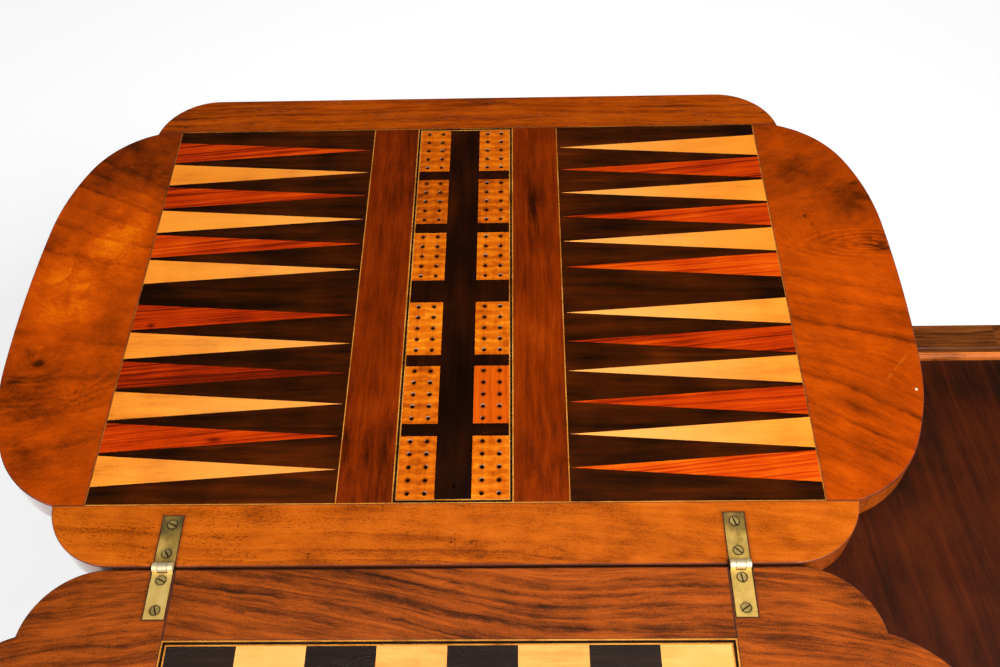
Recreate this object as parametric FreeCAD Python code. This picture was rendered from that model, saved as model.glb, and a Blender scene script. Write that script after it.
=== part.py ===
import FreeCAD, Part
import math
import os

# Fold-over games table with a swivelling top, in the open and swivelled position.
# Millimetres, +Z up, floor at Z = 0, origin under the middle of the whole table.
# The hinge line of the two leaves lies along X at Y = 0. The rear leaf (Y > 0) folds
# over onto the front leaf (Y < 0), which turns on a pivot in the frame.

V = FreeCAD.Vector
os.makedirs("parts", exist_ok=True)

# ---------------------------------------------------------------- driving dimensions
LEAF_X = -100.95          # middle of the leaves, across
TOP_Z = 735.0             # playing surface
LEAF_T = 22.0             # leaf thickness
LEAF_D = 423.2            # leaf depth, hinge edge to outer edge
HALF_GAP = 0.8            # half the gap between the leaves
VENEER = 1.2              # thickness of veneers and inlay
ARRIS = 1.0               # rounding of the leaf's edges

# outline of a leaf: corner lobes and bowed sides made of tangent arcs
LOBE_U = 206.3
LOBE_R = 47.3
SIDE_U = 316.65
SIDE_V = 212.9
R_MID, R_SHOULDER, R_END = 1080.8, 190.1, 75.92
A_MID, A_SHOULDER = math.radians(3.4), math.radians(23.87)

# backgammon field
FIELD_U = 232.2           # half width of the dark field
FIELD_Y0, FIELD_Y1 = 43.3, 385.7
LINE = 0.65               # boxwood line
TABLE_U = 74.0            # inner end of each backgammon table
POINT_TIP_U = 75.6
POINT_W, POINT_PITCH, POINT_MARGIN, BAR_GAP = 23.0, 25.2, 12.0, 19.6

# cribbage board
CRIB_U = 38.4             # half width over its lines
CRIB_L1, CRIB_D, CRIB_L2 = 0.75, 1.5, 0.7
CRIB_STRIP_U = 11.7       # half width of the dark centre strip
CRIB_GAP, CRIB_MID_GAP = 9.6, 20.6
PEG_R, PEG_DEPTH = 1.45, 8.0
PEG_COLUMN = 5.5

# chess board
CHESS_Y = 45.6            # from the hinge line to the outer line
SQUARE = 40.7
CHESS_L1, CHESS_D, CHESS_L2 = 0.9, 1.7, 0.9

# hinges
HINGE_U = 174.0
PLATE_W, PLATE_Y0, PLATE_UP, PLATE_LOW = 12.5, 3.4, 34.9, 32.6
MORTISE = 0.18            # gap between a plate and the wood
KNUCKLE_R, KNUCKLE_BORE, PIN_R = 3.1, 1.25, 1.2
KNUCKLE_MID, KNUCKLE_GAP, BARREL = 5.6, 0.3, 12.5
NOTCH_R, NOTCH_L = 3.45, 14.2
AXIS_Z = TOP_Z + 0.5
# screws: distance from the hinge line, slot angle on the left and on the right hinge
SCREWS_UPPER = ((9.6, 124.0, 135.0), (29.2, 155.0, 108.0))
SCREWS_LOWER = ((-7.9, 152.0, 100.0), (-27.0, 110.0, 32.0))

# pivot: the leaf's middle swings onto the frame's middle in half a turn
SHIFT = HALF_GAP + LEAF_D / 2
FRAME_X = LEAF_X + SHIFT
PIVOT_X, PIVOT_Y = LEAF_X + SHIFT / 2, -SHIFT / 2
BOLT_R, BOLT_CLEAR = 7.0, 0.08
DISC_R = 48.0
FLANGE = 64.0

# frame
OVERHANG = 15.0
RIM_Z = TOP_Z - LEAF_T - 1.0
RAIL_H = 65.0
RAIL_T = 21.0
WELL_U, WELL_V, WELL_R = 250.0, LEAF_D / 2 - OVERHANG - RAIL_T, 80.0
WELL_DEPTH = 9.0
WELL_BEAD = 4.1           # quadrant bead in the corner of the well
RIM_ROUND = 1.2           # rounding of the rim's inner edge
BOARD_T = 12.0
PIVOT_RAIL_T, PIVOT_RAIL_W = 25.0, 70.0

# base
STAND_X = 200.0           # end supports, from the middle of the frame
BEARER_W, BEARER_L, BEARER_H = 46.0, 376.0, 28.0
HUB_R, HUB_Z0, HUB_Z1 = 40.0, 205.0, 300.0
STRETCHER_Z = 254.0
LEG_T = 36.0

# ---------------------------------------------------------------- helpers
NODES = []


def box(x0, x1, y0, y1, z0, z1):
    x0, x1 = min(x0, x1), max(x0, x1)
    y0, y1 = min(y0, y1), max(y0, y1)
    return Part.makeBox(x1 - x0, y1 - y0, z1 - z0, V(x0, y0, z0))


def cylinder(x, y, z, r, h, axis=V(0, 0, 1)):
    return Part.makeCylinder(r, h, V(x, y, z), axis)


def prism(points, z0, z1):
    wire = Part.makePolygon([V(x, y, z0) for x, y in points] + [V(points[0][0], points[0][1], z0)])
    return Part.Face(wire).extrude(V(0, 0, z1 - z0))


def save(name, *shapes):
    solids = []
    for shape in shapes:
        solids += shape.Solids
    assert solids, name
    for solid in solids:
        assert solid.isValid() and solid.Volume > 0, name
    shape = solids[0] if len(solids) == 1 else Part.makeCompound(solids)
    shape.exportStep("parts/" + name + ".step")
    NODES.append(name)
    print("%-26s %3d solid(s) %12.1f mm3" % (name, len(solids), sum(s.Volume for s in solids)))


def arc_points(c, r, a0, a1):
    return [(c[0] + r * math.cos(a), c[1] + r * math.sin(a)) for a in (a0, (a0 + a1) / 2, a1)]


def circles_meet(a, ra, b, rb):
    """The outer (larger u) meeting point of two circles."""
    dx, dy = b[0] - a[0], b[1] - a[1]
    d = math.hypot(dx, dy)
    s = (ra * ra - rb * rb + d * d) / (2 * d)
    h = math.sqrt(ra * ra - s * s)
    px, py = a[0] + s * dx / d, a[1] + s * dy / d
    return max((px + h * dy / d, py - h * dx / d), (px - h * dy / d, py + h * dx / d))


def outline(place, z, inset=0.0, side_v=SIDE_V):
    """The lobed outline of a leaf, moved in by inset. place maps (u, v) to (x, y)."""
    c0 = (SIDE_U - R_MID, side_v)
    c1 = (c0[0] + (R_MID - R_SHOULDER) * math.cos(A_MID), (R_MID - R_SHOULDER) * math.sin(A_MID))
    c2 = (c1[0] + (R_SHOULDER - R_END) * math.cos(A_SHOULDER), c1[1] + (R_SHOULDER - R_END) * math.sin(A_SHOULDER))
    near, far = (LOBE_U, LOBE_R), (LOBE_U, LEAF_D - LOBE_R)
    lobe_r, end_r = LOBE_R - inset, R_END - inset
    b0, b1 = (c2[0], side_v - c2[1]), (c2[0], side_v + c2[1])
    n0 = circles_meet(near, lobe_r, b0, end_r)
    n1 = circles_meet(far, lobe_r, b1, end_r)
    ang = lambda p, c: math.atan2(p[1] - c[1], p[0] - c[0])
    arcs = [
        arc_points(near, lobe_r, -math.pi / 2, ang(n0, near)),
        arc_points(b0, end_r, ang(n0, b0), -A_SHOULDER),
        arc_points((c1[0], side_v - c1[1]), R_SHOULDER - inset, -A_SHOULDER, -A_MID),
        arc_points(c0, R_MID - inset, -A_MID, A_MID),
        arc_points((c1[0], side_v + c1[1]), R_SHOULDER - inset, A_MID, A_SHOULDER),
        arc_points(b1, end_r, A_SHOULDER, ang(n1, b1)),
        arc_points(far, lobe_r, ang(n1, far), math.pi / 2),
    ]
    left = [[(-u, v) for u, v in reversed(a)] for a in reversed(arcs)]
    edges = []
    point = lambda p: V(place(*p)[0], place(*p)[1], z)
    for a in arcs:
        edges.append(Part.Arc(*[point(p) for p in a]).toShape())
    edges.append(Part.makeLine(point(arcs[-1][2]), point(left[0][0])))
    for a in left:
        edges.append(Part.Arc(*[point(p) for p in a]).toShape())
    edges.append(Part.makeLine(point(left[-1][2]), point(arcs[0][0])))
    return Part.Wire(edges)


def rounded_rect(u, v, r, z):
    """A rounded rectangle about the middle of the frame."""
    pts = lambda *ps: [V(FRAME_X + p[0], p[1], z) for p in ps]
    k = r * math.sqrt(0.5)
    edges = []
    for su, sv, turn in ((1, 1, 0), (-1, 1, 1), (-1, -1, 0), (1, -1, 1)):
        cu, cv = su * (u - r), sv * (v - r)
        ends = [(cu + su * r, cv), (cu + su * k, cv + sv * k), (cu, cv + sv * r)]
        if turn:
            ends.reverse()
        edges.append(Part.Arc(*pts(*ends)).toShape())
    joined = []
    for i, e in enumerate(edges):
        joined.append(e)
        a, b = e.Vertexes[-1].Point, edges[(i + 1) % 4].Vertexes[0].Point
        joined.append(Part.makeLine(a, b))
    return Part.Wire(Part.__sortEdges__(joined))


def slices(wire_at, steps):
    """A solid through wires given as (inset, z), from the lowest up."""
    solid = None
    for (i0, z0), (i1, z1) in zip(steps, steps[1:]):
        if abs(i0 - i1) < 1e-9:
            piece = Part.Face(wire_at(z0, i0)).extrude(V(0, 0, z1 - z0))
        else:
            piece = Part.makeLoft([wire_at(z0, i0), wire_at(z1, i1)], True, True)
        solid = piece if solid is None else solid.fuse(piece)
    return solid


def rounding(z, up):
    """Insets of a rounded arris that ends at height z."""
    steps = []
    for deg in (0, 22.5, 45, 67.5, 90):
        a = math.radians(deg)
        steps.append((ARRIS * (1 - math.cos(a)), z - up * ARRIS * (1 - math.sin(a))))
    return steps if up > 0 else steps[::-1]


def turned(profile, base, axis):
    """A turned solid. profile is (radius, height) points, or (rm, hm, r, h) for an arc through rm, hm."""
    side = V(0, 0, 1) if abs(axis.z) < 0.5 else V(1, 0, 0)
    at = lambda r, h: base + side * r + axis * h
    edges, last = [], None
    first = profile[0]
    edges.append(Part.makeLine(at(0, first[1]), at(*first)))
    last = first
    for p in profile[1:]:
        if len(p) == 2:
            edges.append(Part.makeLine(at(*last), at(*p)))
            last = p
        else:
            edges.append(Part.Arc(at(*last), at(p[0], p[1]), at(p[2], p[3])).toShape())
            last = (p[2], p[3])
    if last[0] > 1e-6:
        edges.append(Part.makeLine(at(*last), at(0, last[1])))
    edges.append(Part.makeLine(at(0, last[1]), at(0, first[1])))
    solid = Part.Face(Part.Wire(edges)).revolve(base, axis, 360)
    return Part.Solid(solid.Shells[0]) if solid.ShapeType != "Solid" else solid


# ---------------------------------------------------------------- leaves: blanks
upper_at = lambda u, v: (LEAF_X + u, HALF_GAP + v)
lower_at = lambda u, v: (LEAF_X + u, -HALF_GAP - v)
upper_wire = lambda z, inset: outline(upper_at, z, inset)
lower_wire = lambda z, inset: outline(lower_at, z, inset)

Z_BOTTOM = TOP_Z - LEAF_T
Z_INLAY = TOP_Z - VENEER

upper_cap = slices(upper_wire, [(0, Z_INLAY)] + rounding(TOP_Z, 1))
lower_cap = slices(lower_wire, [(0, Z_INLAY)] + rounding(TOP_Z, 1))
upper_core = slices(upper_wire, [(0, Z_BOTTOM + VENEER), (0, Z_INLAY)])
upper_show = slices(upper_wire, rounding(Z_BOTTOM, -1) + [(0, Z_BOTTOM + VENEER)])
lower_core = slices(lower_wire, rounding(Z_BOTTOM, -1) + [(0, Z_INLAY)])

# ---------------------------------------------------------------- hinges and their seats
plates_up, plates_low, pins, screws_up, screws_low = [], [], [], [], []
veneer_cut_up, veneer_cut_low, core_cut_up, core_cut_low = [], [], [], []
for s in (-1, 1):
    hx = LEAF_X + s * HINGE_U
    X = V(1, 0, 0)
    bore = cylinder(hx - BARREL / 2, 0, AXIS_Z, PIN_R, BARREL, X)
    pins.append(cylinder(hx - BARREL / 2, 0, AXIS_Z, PIN_R, BARREL, X))
    notch = cylinder(hx - NOTCH_L / 2, 0, AXIS_Z, NOTCH_R, NOTCH_L, X)
    for cuts in (veneer_cut_up, veneer_cut_low, core_cut_up, core_cut_low):
        cuts.append(notch)
    w = PLATE_W / 2
    veneer_cut_up.append(box(hx - w - MORTISE, hx + w + MORTISE, 0, PLATE_UP + MORTISE, Z_INLAY - 1, TOP_Z + 1))
    veneer_cut_low.append(box(hx - w - MORTISE, hx + w + MORTISE, -PLATE_LOW - MORTISE, 0, Z_INLAY - 1, TOP_Z + 1))
    m = KNUCKLE_MID / 2
    mid = cylinder(hx - m, 0, AXIS_Z, KNUCKLE_R, KNUCKLE_MID, X)
    up = box(hx - w, hx + w, PLATE_Y0, PLATE_UP, Z_INLAY, TOP_Z)
    up = up.fuse(box(hx - m, hx + m, 0, PLATE_Y0, Z_INLAY, TOP_Z)).fuse(mid)
    up = up.cut(cylinder(hx - BARREL / 2, 0, AXIS_Z, KNUCKLE_BORE, BARREL, X))
    low = box(hx - w, hx + w, -PLATE_LOW, -PLATE_Y0, Z_INLAY, TOP_Z)
    for t in (-1, 1):
        a, b = sorted((hx + t * (m + KNUCKLE_GAP), hx + t * BARREL / 2))
        low = low.fuse(cylinder(a, 0, AXIS_Z, KNUCKLE_R, b - a, X))
        a2, b2 = max(a, hx - w), min(b, hx + w)
        low = low.fuse(box(a2, b2, -PLATE_Y0, 0, Z_INLAY, TOP_Z))
    low = low.cut(bore)
    for plate, screws, rows, core_cuts in ((up, screws_up, SCREWS_UPPER, core_cut_up), (low, screws_low, SCREWS_LOWER, core_cut_low)):
        for y, turn_left, turn_right in rows:
            sink = Part.makeCone(1.75, 3.3, VENEER, V(hx, y, Z_INLAY))
            plate = plate.cut(sink)
            head = Part.makeCone(1.6, 2.95, VENEER - 0.04, V(hx, y, Z_INLAY))
            screw = head.fuse(cylinder(hx, y, Z_INLAY - 10, 1.6, 10))
            slot = box(-4, 4, -0.45, 0.45, TOP_Z - 0.62, TOP_Z + 1)
            slot.rotate(V(0, 0, 0), V(0, 0, 1), turn_left if s < 0 else turn_right)
            slot.translate(V(hx, y, 0))
            screws.append(screw.cut(slot))
            core_cuts.append(cylinder(hx, y, Z_INLAY - 10, 1.6, 10.5))
        if plate.isValid():
            (plates_up if rows is SCREWS_UPPER else plates_low).append(plate)
        else:
            raise RuntimeError("hinge plate")

# ---------------------------------------------------------------- upper leaf: inlay
sx = lambda u: LEAF_X + u
BIG = 1000.0
Z0, Z1 = Z_INLAY, TOP_Z
field_u, field_y0, field_y1 = FIELD_U + LINE, FIELD_Y0 - LINE, FIELD_Y1 + LINE


def strip(u0, u1, y0, y1):
    return box(sx(u0), sx(u1), y0, y1, Z0, Z1)


def layer(cap, u0, u1, y0, y1):
    return cap.common(box(sx(u0), sx(u1), y0, y1, Z0 - 5, Z1 + 5)).removeSplitter()


hinge_border = layer(upper_cap, -BIG, BIG, 0, field_y0).cut(Part.makeCompound(veneer_cut_up))
save("upper_hinge_border", hinge_border)
save("upper_far_border", layer(upper_cap, -BIG, BIG, field_y1, BIG))
save("upper_left_panel", layer(upper_cap, -BIG, -field_u, field_y0, field_y1))
save("upper_right_panel", layer(upper_cap, field_u, BIG, field_y0, field_y1))

lines = [
    strip(-field_u, field_u, field_y0, FIELD_Y0),
    strip(-field_u, field_u, FIELD_Y1, field_y1),
    strip(-field_u, -FIELD_U, FIELD_Y0, FIELD_Y1),
    strip(FIELD_U, field_u, FIELD_Y0, FIELD_Y1),
    strip(-TABLE_U, -TABLE_U + LINE, FIELD_Y0, FIELD_Y1),
    strip(TABLE_U - LINE, TABLE_U, FIELD_Y0, FIELD_Y1),
]
save("field_stringing", *lines)

grounds, light, red = [], [], []
for s in (-1, 1):
    ground = strip(s * TABLE_U, s * FIELD_U, FIELD_Y0, FIELD_Y1)
    for i in range(12):
        top = FIELD_Y1 - POINT_MARGIN - i * POINT_PITCH
        if i >= 6:
            top -= BAR_GAP - (POINT_PITCH - POINT_W)
        tri = prism([(sx(s * FIELD_U), top), (sx(s * FIELD_U), top - POINT_W), (sx(s * POINT_TIP_U), top - POINT_W / 2)], Z0, Z1)
        ground = ground.cut(tri)
        is_red = (i % 2 == 0) if s < 0 else (i % 2 == 1)
        (red if is_red else light).append(tri)
    grounds.append(ground)
save("backgammon_ground", *grounds)
save("light_points", *light)
save("red_points", *red)

save("divider_strips",
     strip(-TABLE_U + LINE, -CRIB_U, FIELD_Y0, FIELD_Y1),
     strip(CRIB_U, TABLE_U - LINE, FIELD_Y0, FIELD_Y1))


def ring(u0, u1, y0, y1, t):
    """Four mitre-free strips round a rectangle, t wide, inside it."""
    return [strip(u0, u1, y0, y0 + t), strip(u0, u1, y1 - t, y1),
            strip(u0, u0 + t, y0 + t, y1 - t), strip(u1 - t, u1, y0 + t, y1 - t)]


o1 = 0.0
o2 = o1 + CRIB_L1
o3 = o2 + CRIB_D
o4 = o3 + CRIB_L2
pale = [strip(s * (CRIB_U - o2), s * (CRIB_U - o1), FIELD_Y0, FIELD_Y1) for s in (-1, 1)]
pale += ring(-CRIB_U + o3, CRIB_U - o3, FIELD_Y0 + CRIB_D, FIELD_Y1 - CRIB_D, CRIB_L2)
save("cribbage_lines_light", *pale)
save("cribbage_lines_dark", *ring(-CRIB_U + o2, CRIB_U - o2, FIELD_Y0, FIELD_Y1, CRIB_D))

crib_u, crib_y0, crib_y1 = CRIB_U - o4, FIELD_Y0 + CRIB_D + CRIB_L2, FIELD_Y1 - CRIB_D - CRIB_L2
block_l = (crib_y1 - crib_y0 - 4 * CRIB_GAP - CRIB_MID_GAP) / 6
crib_ground = strip(-crib_u, crib_u, crib_y0, crib_y1)
blocks, replaced, pegs = [], None, []
for s in (-1, 1):
    y = crib_y1
    for i in range(6):
        block = strip(s * CRIB_STRIP_U, s * crib_u, y - block_l, y)
        crib_ground = crib_ground.cut(block)
        mid_u = s * (CRIB_STRIP_U + crib_u) / 2
        holes = []
        for row in range(5):
            hy = y - 4.0 - row * (block_l - 8.0) / 4
            for c in (-1, 1):
                holes.append(cylinder(sx(mid_u + c * PEG_COLUMN), hy, TOP_Z - PEG_DEPTH, PEG_R, PEG_DEPTH + 1))
        pegs += holes
        block = block.cut(Part.makeCompound(holes))
        if s > 0 and i == 4:
            replaced = block
        else:
            blocks.append(block)
        y -= block_l + (CRIB_MID_GAP if i == 2 else CRIB_GAP)
centre_pegs = [cylinder(sx(0), y, TOP_Z - PEG_DEPTH, PEG_R, PEG_DEPTH + 1) for y in (FIELD_Y1 - 8.6, FIELD_Y0 + 11.5)]
pegs += centre_pegs
save("cribbage_ground", crib_ground.cut(Part.makeCompound(centre_pegs)))
save("cribbage_blocks", *blocks)
save("cribbage_block_replaced", replaced)

save("upper_leaf_core", upper_core.cut(Part.makeCompound(core_cut_up + pegs)))
cx, cy = LEAF_X, HALF_GAP + LEAF_D / 2
quarters = []
for qx in (-1, 1):
    for qy in (-1, 1):
        quarters.append(upper_show.common(box(cx, cx + qx * BIG, cy, cy + qy * BIG, 0, BIG)))
save("upper_show_veneer", *quarters)
save("hinge_plates_upper", *plates_up)
save("hinge_screws_upper", *screws_up)

# ---------------------------------------------------------------- lower leaf: inlay
chess_u = 4 * SQUARE + CHESS_L1 + CHESS_D + CHESS_L2
ya, yb = -CHESS_Y, -CHESS_Y - 2 * chess_u
cut_low = Part.makeCompound(veneer_cut_low)
save("lower_left_panel", layer(lower_cap, -BIG, -chess_u, -BIG, 0).cut(cut_low))
save("lower_right_panel", layer(lower_cap, chess_u, BIG, -BIG, 0).cut(cut_low))
save("lower_hinge_border", layer(lower_cap, -chess_u, chess_u, ya, 0))
save("lower_front_border", layer(lower_cap, -chess_u, chess_u, -BIG, yb))
c1, c2 = CHESS_L1, CHESS_L1 + CHESS_D
c3 = c2 + CHESS_L2
save("chess_lines_light", *(ring(-chess_u, chess_u, yb, ya, CHESS_L1) + ring(-chess_u + c2, chess_u - c2, yb + c2, ya - c2, CHESS_L2)))
save("chess_line_dark", *ring(-chess_u + c1, chess_u - c1, yb + c1, ya - c1, CHESS_D))
dark, pale = [], []
for row in range(8):
    for col in range(8):
        sq = strip(-4 * SQUARE + col * SQUARE, -3 * SQUARE + col * SQUARE, ya - c3 - row * SQUARE, ya - c3 - (row + 1) * SQUARE)
        (dark if (row + col) % 2 == 0 else pale).append(sq)
save("dark_squares", *dark)
save("light_squares", *pale)
save("hinge_plates_lower", *plates_low)
save("hinge_pins", *pins)
save("hinge_screws_lower", *screws_low)

# ---------------------------------------------------------------- pivot
board_z = RIM_Z - WELL_DEPTH
rail_z = board_z - BOARD_T - PIVOT_RAIL_T
washer_z = rail_z - 0.4
flange = box(PIVOT_X - FLANGE / 2, PIVOT_X + FLANGE / 2, PIVOT_Y - FLANGE / 2, PIVOT_Y + FLANGE / 2, Z_BOTTOM, Z_BOTTOM + 3)
bolt = flange.fuse(cylinder(PIVOT_X, PIVOT_Y, washer_z - 18, BOLT_R, Z_BOTTOM + 3 - washer_z + 18)).removeSplitter()
flange_screws, flange_seats = [], []
for s in (-1, 1):
    for t in (-1, 1):
        fx, fy = PIVOT_X + s * 24, PIVOT_Y + t * 24
        bolt = bolt.cut(Part.makeCone(4.0, 2.0, 3, V(fx, fy, Z_BOTTOM)))
        flange_screws.append(Part.makeCone(4.0, 2.0, 3, V(fx, fy, Z_BOTTOM)).fuse(cylinder(fx, fy, Z_BOTTOM + 3, 2.0, 8)).cut(box(fx - 5, fx + 5, fy - 0.5, fy + 0.5, Z_BOTTOM - 1, Z_BOTTOM + 0.9)))
        flange_seats.append(cylinder(fx, fy, Z_BOTTOM + 2.9, 2.0, 8.1))
save("lower_leaf_core", lower_core.cut(Part.makeCompound(core_cut_low)).cut(flange).cut(Part.makeCompound(flange_seats)))
disc = turned([(DISC_R - 2, board_z + 0.4), (DISC_R - 0.6, board_z + 1.0, DISC_R, board_z + 2.4), (DISC_R, Z_BOTTOM)], V(PIVOT_X, PIVOT_Y, 0), V(0, 0, 1))
save("pivot_disc", disc.cut(cylinder(PIVOT_X, PIVOT_Y, board_z - 1, BOLT_R, 40)))
save("pivot_bolt", bolt)
save("pivot_flange_screws", *flange_screws)
save("pivot_washer", cylinder(PIVOT_X, PIVOT_Y, washer_z - 2.5, 18, 2.5).cut(cylinder(PIVOT_X, PIVOT_Y, washer_z - 3, BOLT_R, 4)))
nut = prism([(PIVOT_X + 13.3 * math.cos(math.radians(a)), PIVOT_Y + 13.3 * math.sin(math.radians(a))) for a in range(0, 360, 60)], washer_z - 13.5, washer_z - 2.5)
nut = nut.common(Part.makeCone(11.2, 16.2, 5, V(PIVOT_X, PIVOT_Y, washer_z - 13.5)).fuse(cylinder(PIVOT_X, PIVOT_Y, washer_z - 8.5, 16.2, 7)))
save("pivot_nut", nut.cut(cylinder(PIVOT_X, PIVOT_Y, washer_z - 20, BOLT_R, 30)))

# ---------------------------------------------------------------- frame
frame_at = lambda u, v: (FRAME_X + u, v - LEAF_D / 2)
frame_wire = lambda z, inset: outline(frame_at, z, inset, LEAF_D / 2)
well_wire = lambda z, inset: rounded_rect(WELL_U - inset, WELL_V - inset, WELL_R - inset, z)
rim_z0 = RIM_Z - RAIL_H
block = slices(frame_wire, [(OVERHANG + 0.8, rim_z0), (OVERHANG, rim_z0 + 0.8), (OVERHANG, RIM_Z - 0.8), (OVERHANG + 0.25, RIM_Z - 0.25), (OVERHANG + 0.8, RIM_Z)])
inner = [(0, rim_z0 - 1)]
for deg in (0, 30, 60, 90):
    a = math.radians(deg)
    inner.append((RIM_ROUND * (math.cos(a) - 1), RIM_Z - RIM_ROUND * (1 - math.sin(a))))
inner.append((-RIM_ROUND, RIM_Z + 1))
walls = block.cut(slices(well_wire, inner))
su, sv = WELL_U - WELL_R, WELL_V - WELL_R


def frame_box(u0, u1, v0, v1):
    return box(FRAME_X + u0, FRAME_X + u1, v0, v1, rim_z0 - 1, RIM_Z + 1)


save("back_rail", walls.common(frame_box(-su, su, 0, BIG)))
save("front_rail", walls.common(frame_box(-su, su, -BIG, 0)))
save("left_end_rail", walls.common(frame_box(-BIG, -su, -sv, sv)))
save("right_end_rail", walls.common(frame_box(su, BIG, -sv, sv)))
corners = []
for s in (-1, 1):
    for t in (-1, 1):
        corners.append(walls.common(frame_box(s * su, s * BIG, t * sv, t * BIG)))

# bead round the bottom of the rails
bead_r = 4.5
bead = slices(frame_wire, [(OVERHANG - bead_r * math.sin(math.radians(a)), rim_z0 + 2.0 + bead_r - bead_r * math.cos(math.radians(a))) for a in (20, 45, 67.5, 90, 112.5, 135, 160)])
bead = bead.cut(Part.Face(frame_wire(rim_z0 - 5, OVERHANG)).extrude(V(0, 0, 40)))
save("frieze_bead", bead)

# quadrant bead in the corner of the well
hole = []
for deg in (0, 15, 30, 45, 60, 75, 86):
    a = math.radians(deg)
    hole.append((WELL_BEAD * math.cos(a), board_z + WELL_BEAD * math.sin(a)))
moulding = Part.Face(well_wire(board_z, 0)).extrude(V(0, 0, hole[-1][1] - board_z)).cut(slices(well_wire, hole))
save("well_moulding", moulding)
bolt_way = cylinder(PIVOT_X, PIVOT_Y, rim_z0 - 50, BOLT_R + BOLT_CLEAR, 200)
save("well_board", Part.Face(well_wire(board_z - BOARD_T, 0)).extrude(V(0, 0, BOARD_T)).cut(bolt_way))
pu = PIVOT_X - FRAME_X
pw = PIVOT_RAIL_W / 2
under = board_z - BOARD_T
save("pivot_rail", box(PIVOT_X - pw, PIVOT_X + pw, -WELL_V, WELL_V, rail_z, under).cut(bolt_way))
cleats = []
for t in (-1, 1):
    for a, b in ((-su, pu - pw), (pu + pw, su)):
        cleats.append(box(FRAME_X + a, FRAME_X + b, t * WELL_V, t * (WELL_V - 14), under - 16, under))
save("board_cleats", *cleats)

# ---------------------------------------------------------------- base
bearer_z = rim_z0 - BEARER_H
columns, hubs, bearers, finials, legs, screws = [], [], [], [], {}, []
column_profile = [
    (14, 272), (14, 300), (33, 300), (37.5, 306.5, 33, 313), (29.5, 313), (29.5, 317),
    (23.2, 329, 22.5, 346), (24.5, 346), (27.0, 349.5, 24.5, 353), (22.5, 353),
    (30.5, 374, 35.5, 405), (31.0, 447, 21.5, 488), (24.5, 488), (27.5, 493, 24.5, 498), (20.5, 498),
    (18.2, 566), (22.0, 566), (24.8, 570.5, 22.0, 575), (19.5, 575), (22.8, 592, 31.5, 601),
    (31.5, 604), (36.0, 610, 32.0, 616), (32.0, bearer_z), (12, bearer_z), (12, bearer_z + 20),
]
hub_profile = [(28, HUB_Z0), (36.5, HUB_Z0 + 2.5, HUB_R, HUB_Z0 + 10), (HUB_R, HUB_Z1 - 9), (38.2, HUB_Z1 - 2.4, 33.5, HUB_Z1)]
finial_profile = [(2.5, 148), (8.5, 151, 10.5, 157), (7.5, 157), (7.5, 159.5), (20.5, 174, 12.0, 190), (15.5, 190), (18.0, 193, 15.5, 196), (12.5, 196), (16.0, 202, 25.0, HUB_Z0), (11.0, HUB_Z0), (11.0, HUB_Z0 + 22)]
half = STAND_X - HUB_R
stretcher_half = [
    (9.5, -(half + 24)), (9.5, -half - 4.2), (17, -half - 4.2), (17, -half + 4), (20.5, -half + 8.5, 17, -half + 13), (13.5, -half + 13), (13.5, -half + 17),
    (18.5, -100, 13.0, -46), (17.0, -46), (20.0, -42, 17.0, -38), (13.0, -38), (13.0, -35), (24.5, -19, 27.0, 0),
]
stretcher_profile = list(stretcher_half)
back = []
pts = [stretcher_half[0]] + [p for p in stretcher_half[1:]]
for i in range(len(pts) - 1, 0, -1):
    here, before = pts[i], pts[i - 1]
    end = before if len(before) == 2 else (before[2], before[3])
    if len(here) == 4:
        back.append((here[0], -here[1], end[0], -end[1]))
    else:
        back.append((end[0], -end[1]))
stretcher = turned(stretcher_profile + back, V(FRAME_X, 0, STRETCHER_Z), V(1, 0, 0))


def spline(points):
    curve = Part.BSplineCurve()
    curve.interpolate([V(0, y, z) for y, z in points])
    return curve.toShape()


def leg(x, t):
    """A scroll leg in the YZ plane, on the side t of the hub."""
    upper = [(30, 286), (52, 293), (82, 284), (110, 252), (131, 203), (149, 150), (168, 100), (188, 64), (208, 46), (224, 33), (226, 14)]
    lower = [(212, 0), (188, 0), (176, 12), (158, 44), (138, 92), (120, 140), (100, 180), (76, 206), (52, 217), (30, 221)]
    top = spline([(t * y, z) for y, z in upper])
    under = spline([(t * y, z) for y, z in lower[1:]])
    a = V(0, t * upper[-1][0], upper[-1][1])
    b = V(0, t * lower[0][0], lower[0][1])
    c = V(0, t * lower[1][0], lower[1][1])
    d = V(0, t * lower[-1][0], lower[-1][1])
    e = V(0, t * upper[0][0], upper[0][1])
    wire = Part.Wire([top, Part.Arc(a, V(0, t * 221.5, 4.2), b).toShape(), Part.makeLine(b, c), under, Part.makeLine(d, e)])
    face = Part.Face(wire)
    face.translate(V(x - LEG_T / 2, 0, 0))
    solid = face.extrude(V(LEG_T, 0, 0))
    long_edges = [ed for ed in solid.Edges if ed.Length > 150 and abs(ed.Vertexes[0].Point.x - ed.Vertexes[-1].Point.x) < 1e-6]
    try:
        soft = solid.makeFillet(7.0, long_edges)
        if soft.isValid() and soft.Volume > 0.8 * solid.Volume:
            solid = soft
    except Exception as err:
        print("leg edges stay square:", err)
    return solid.Solids[0]


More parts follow.
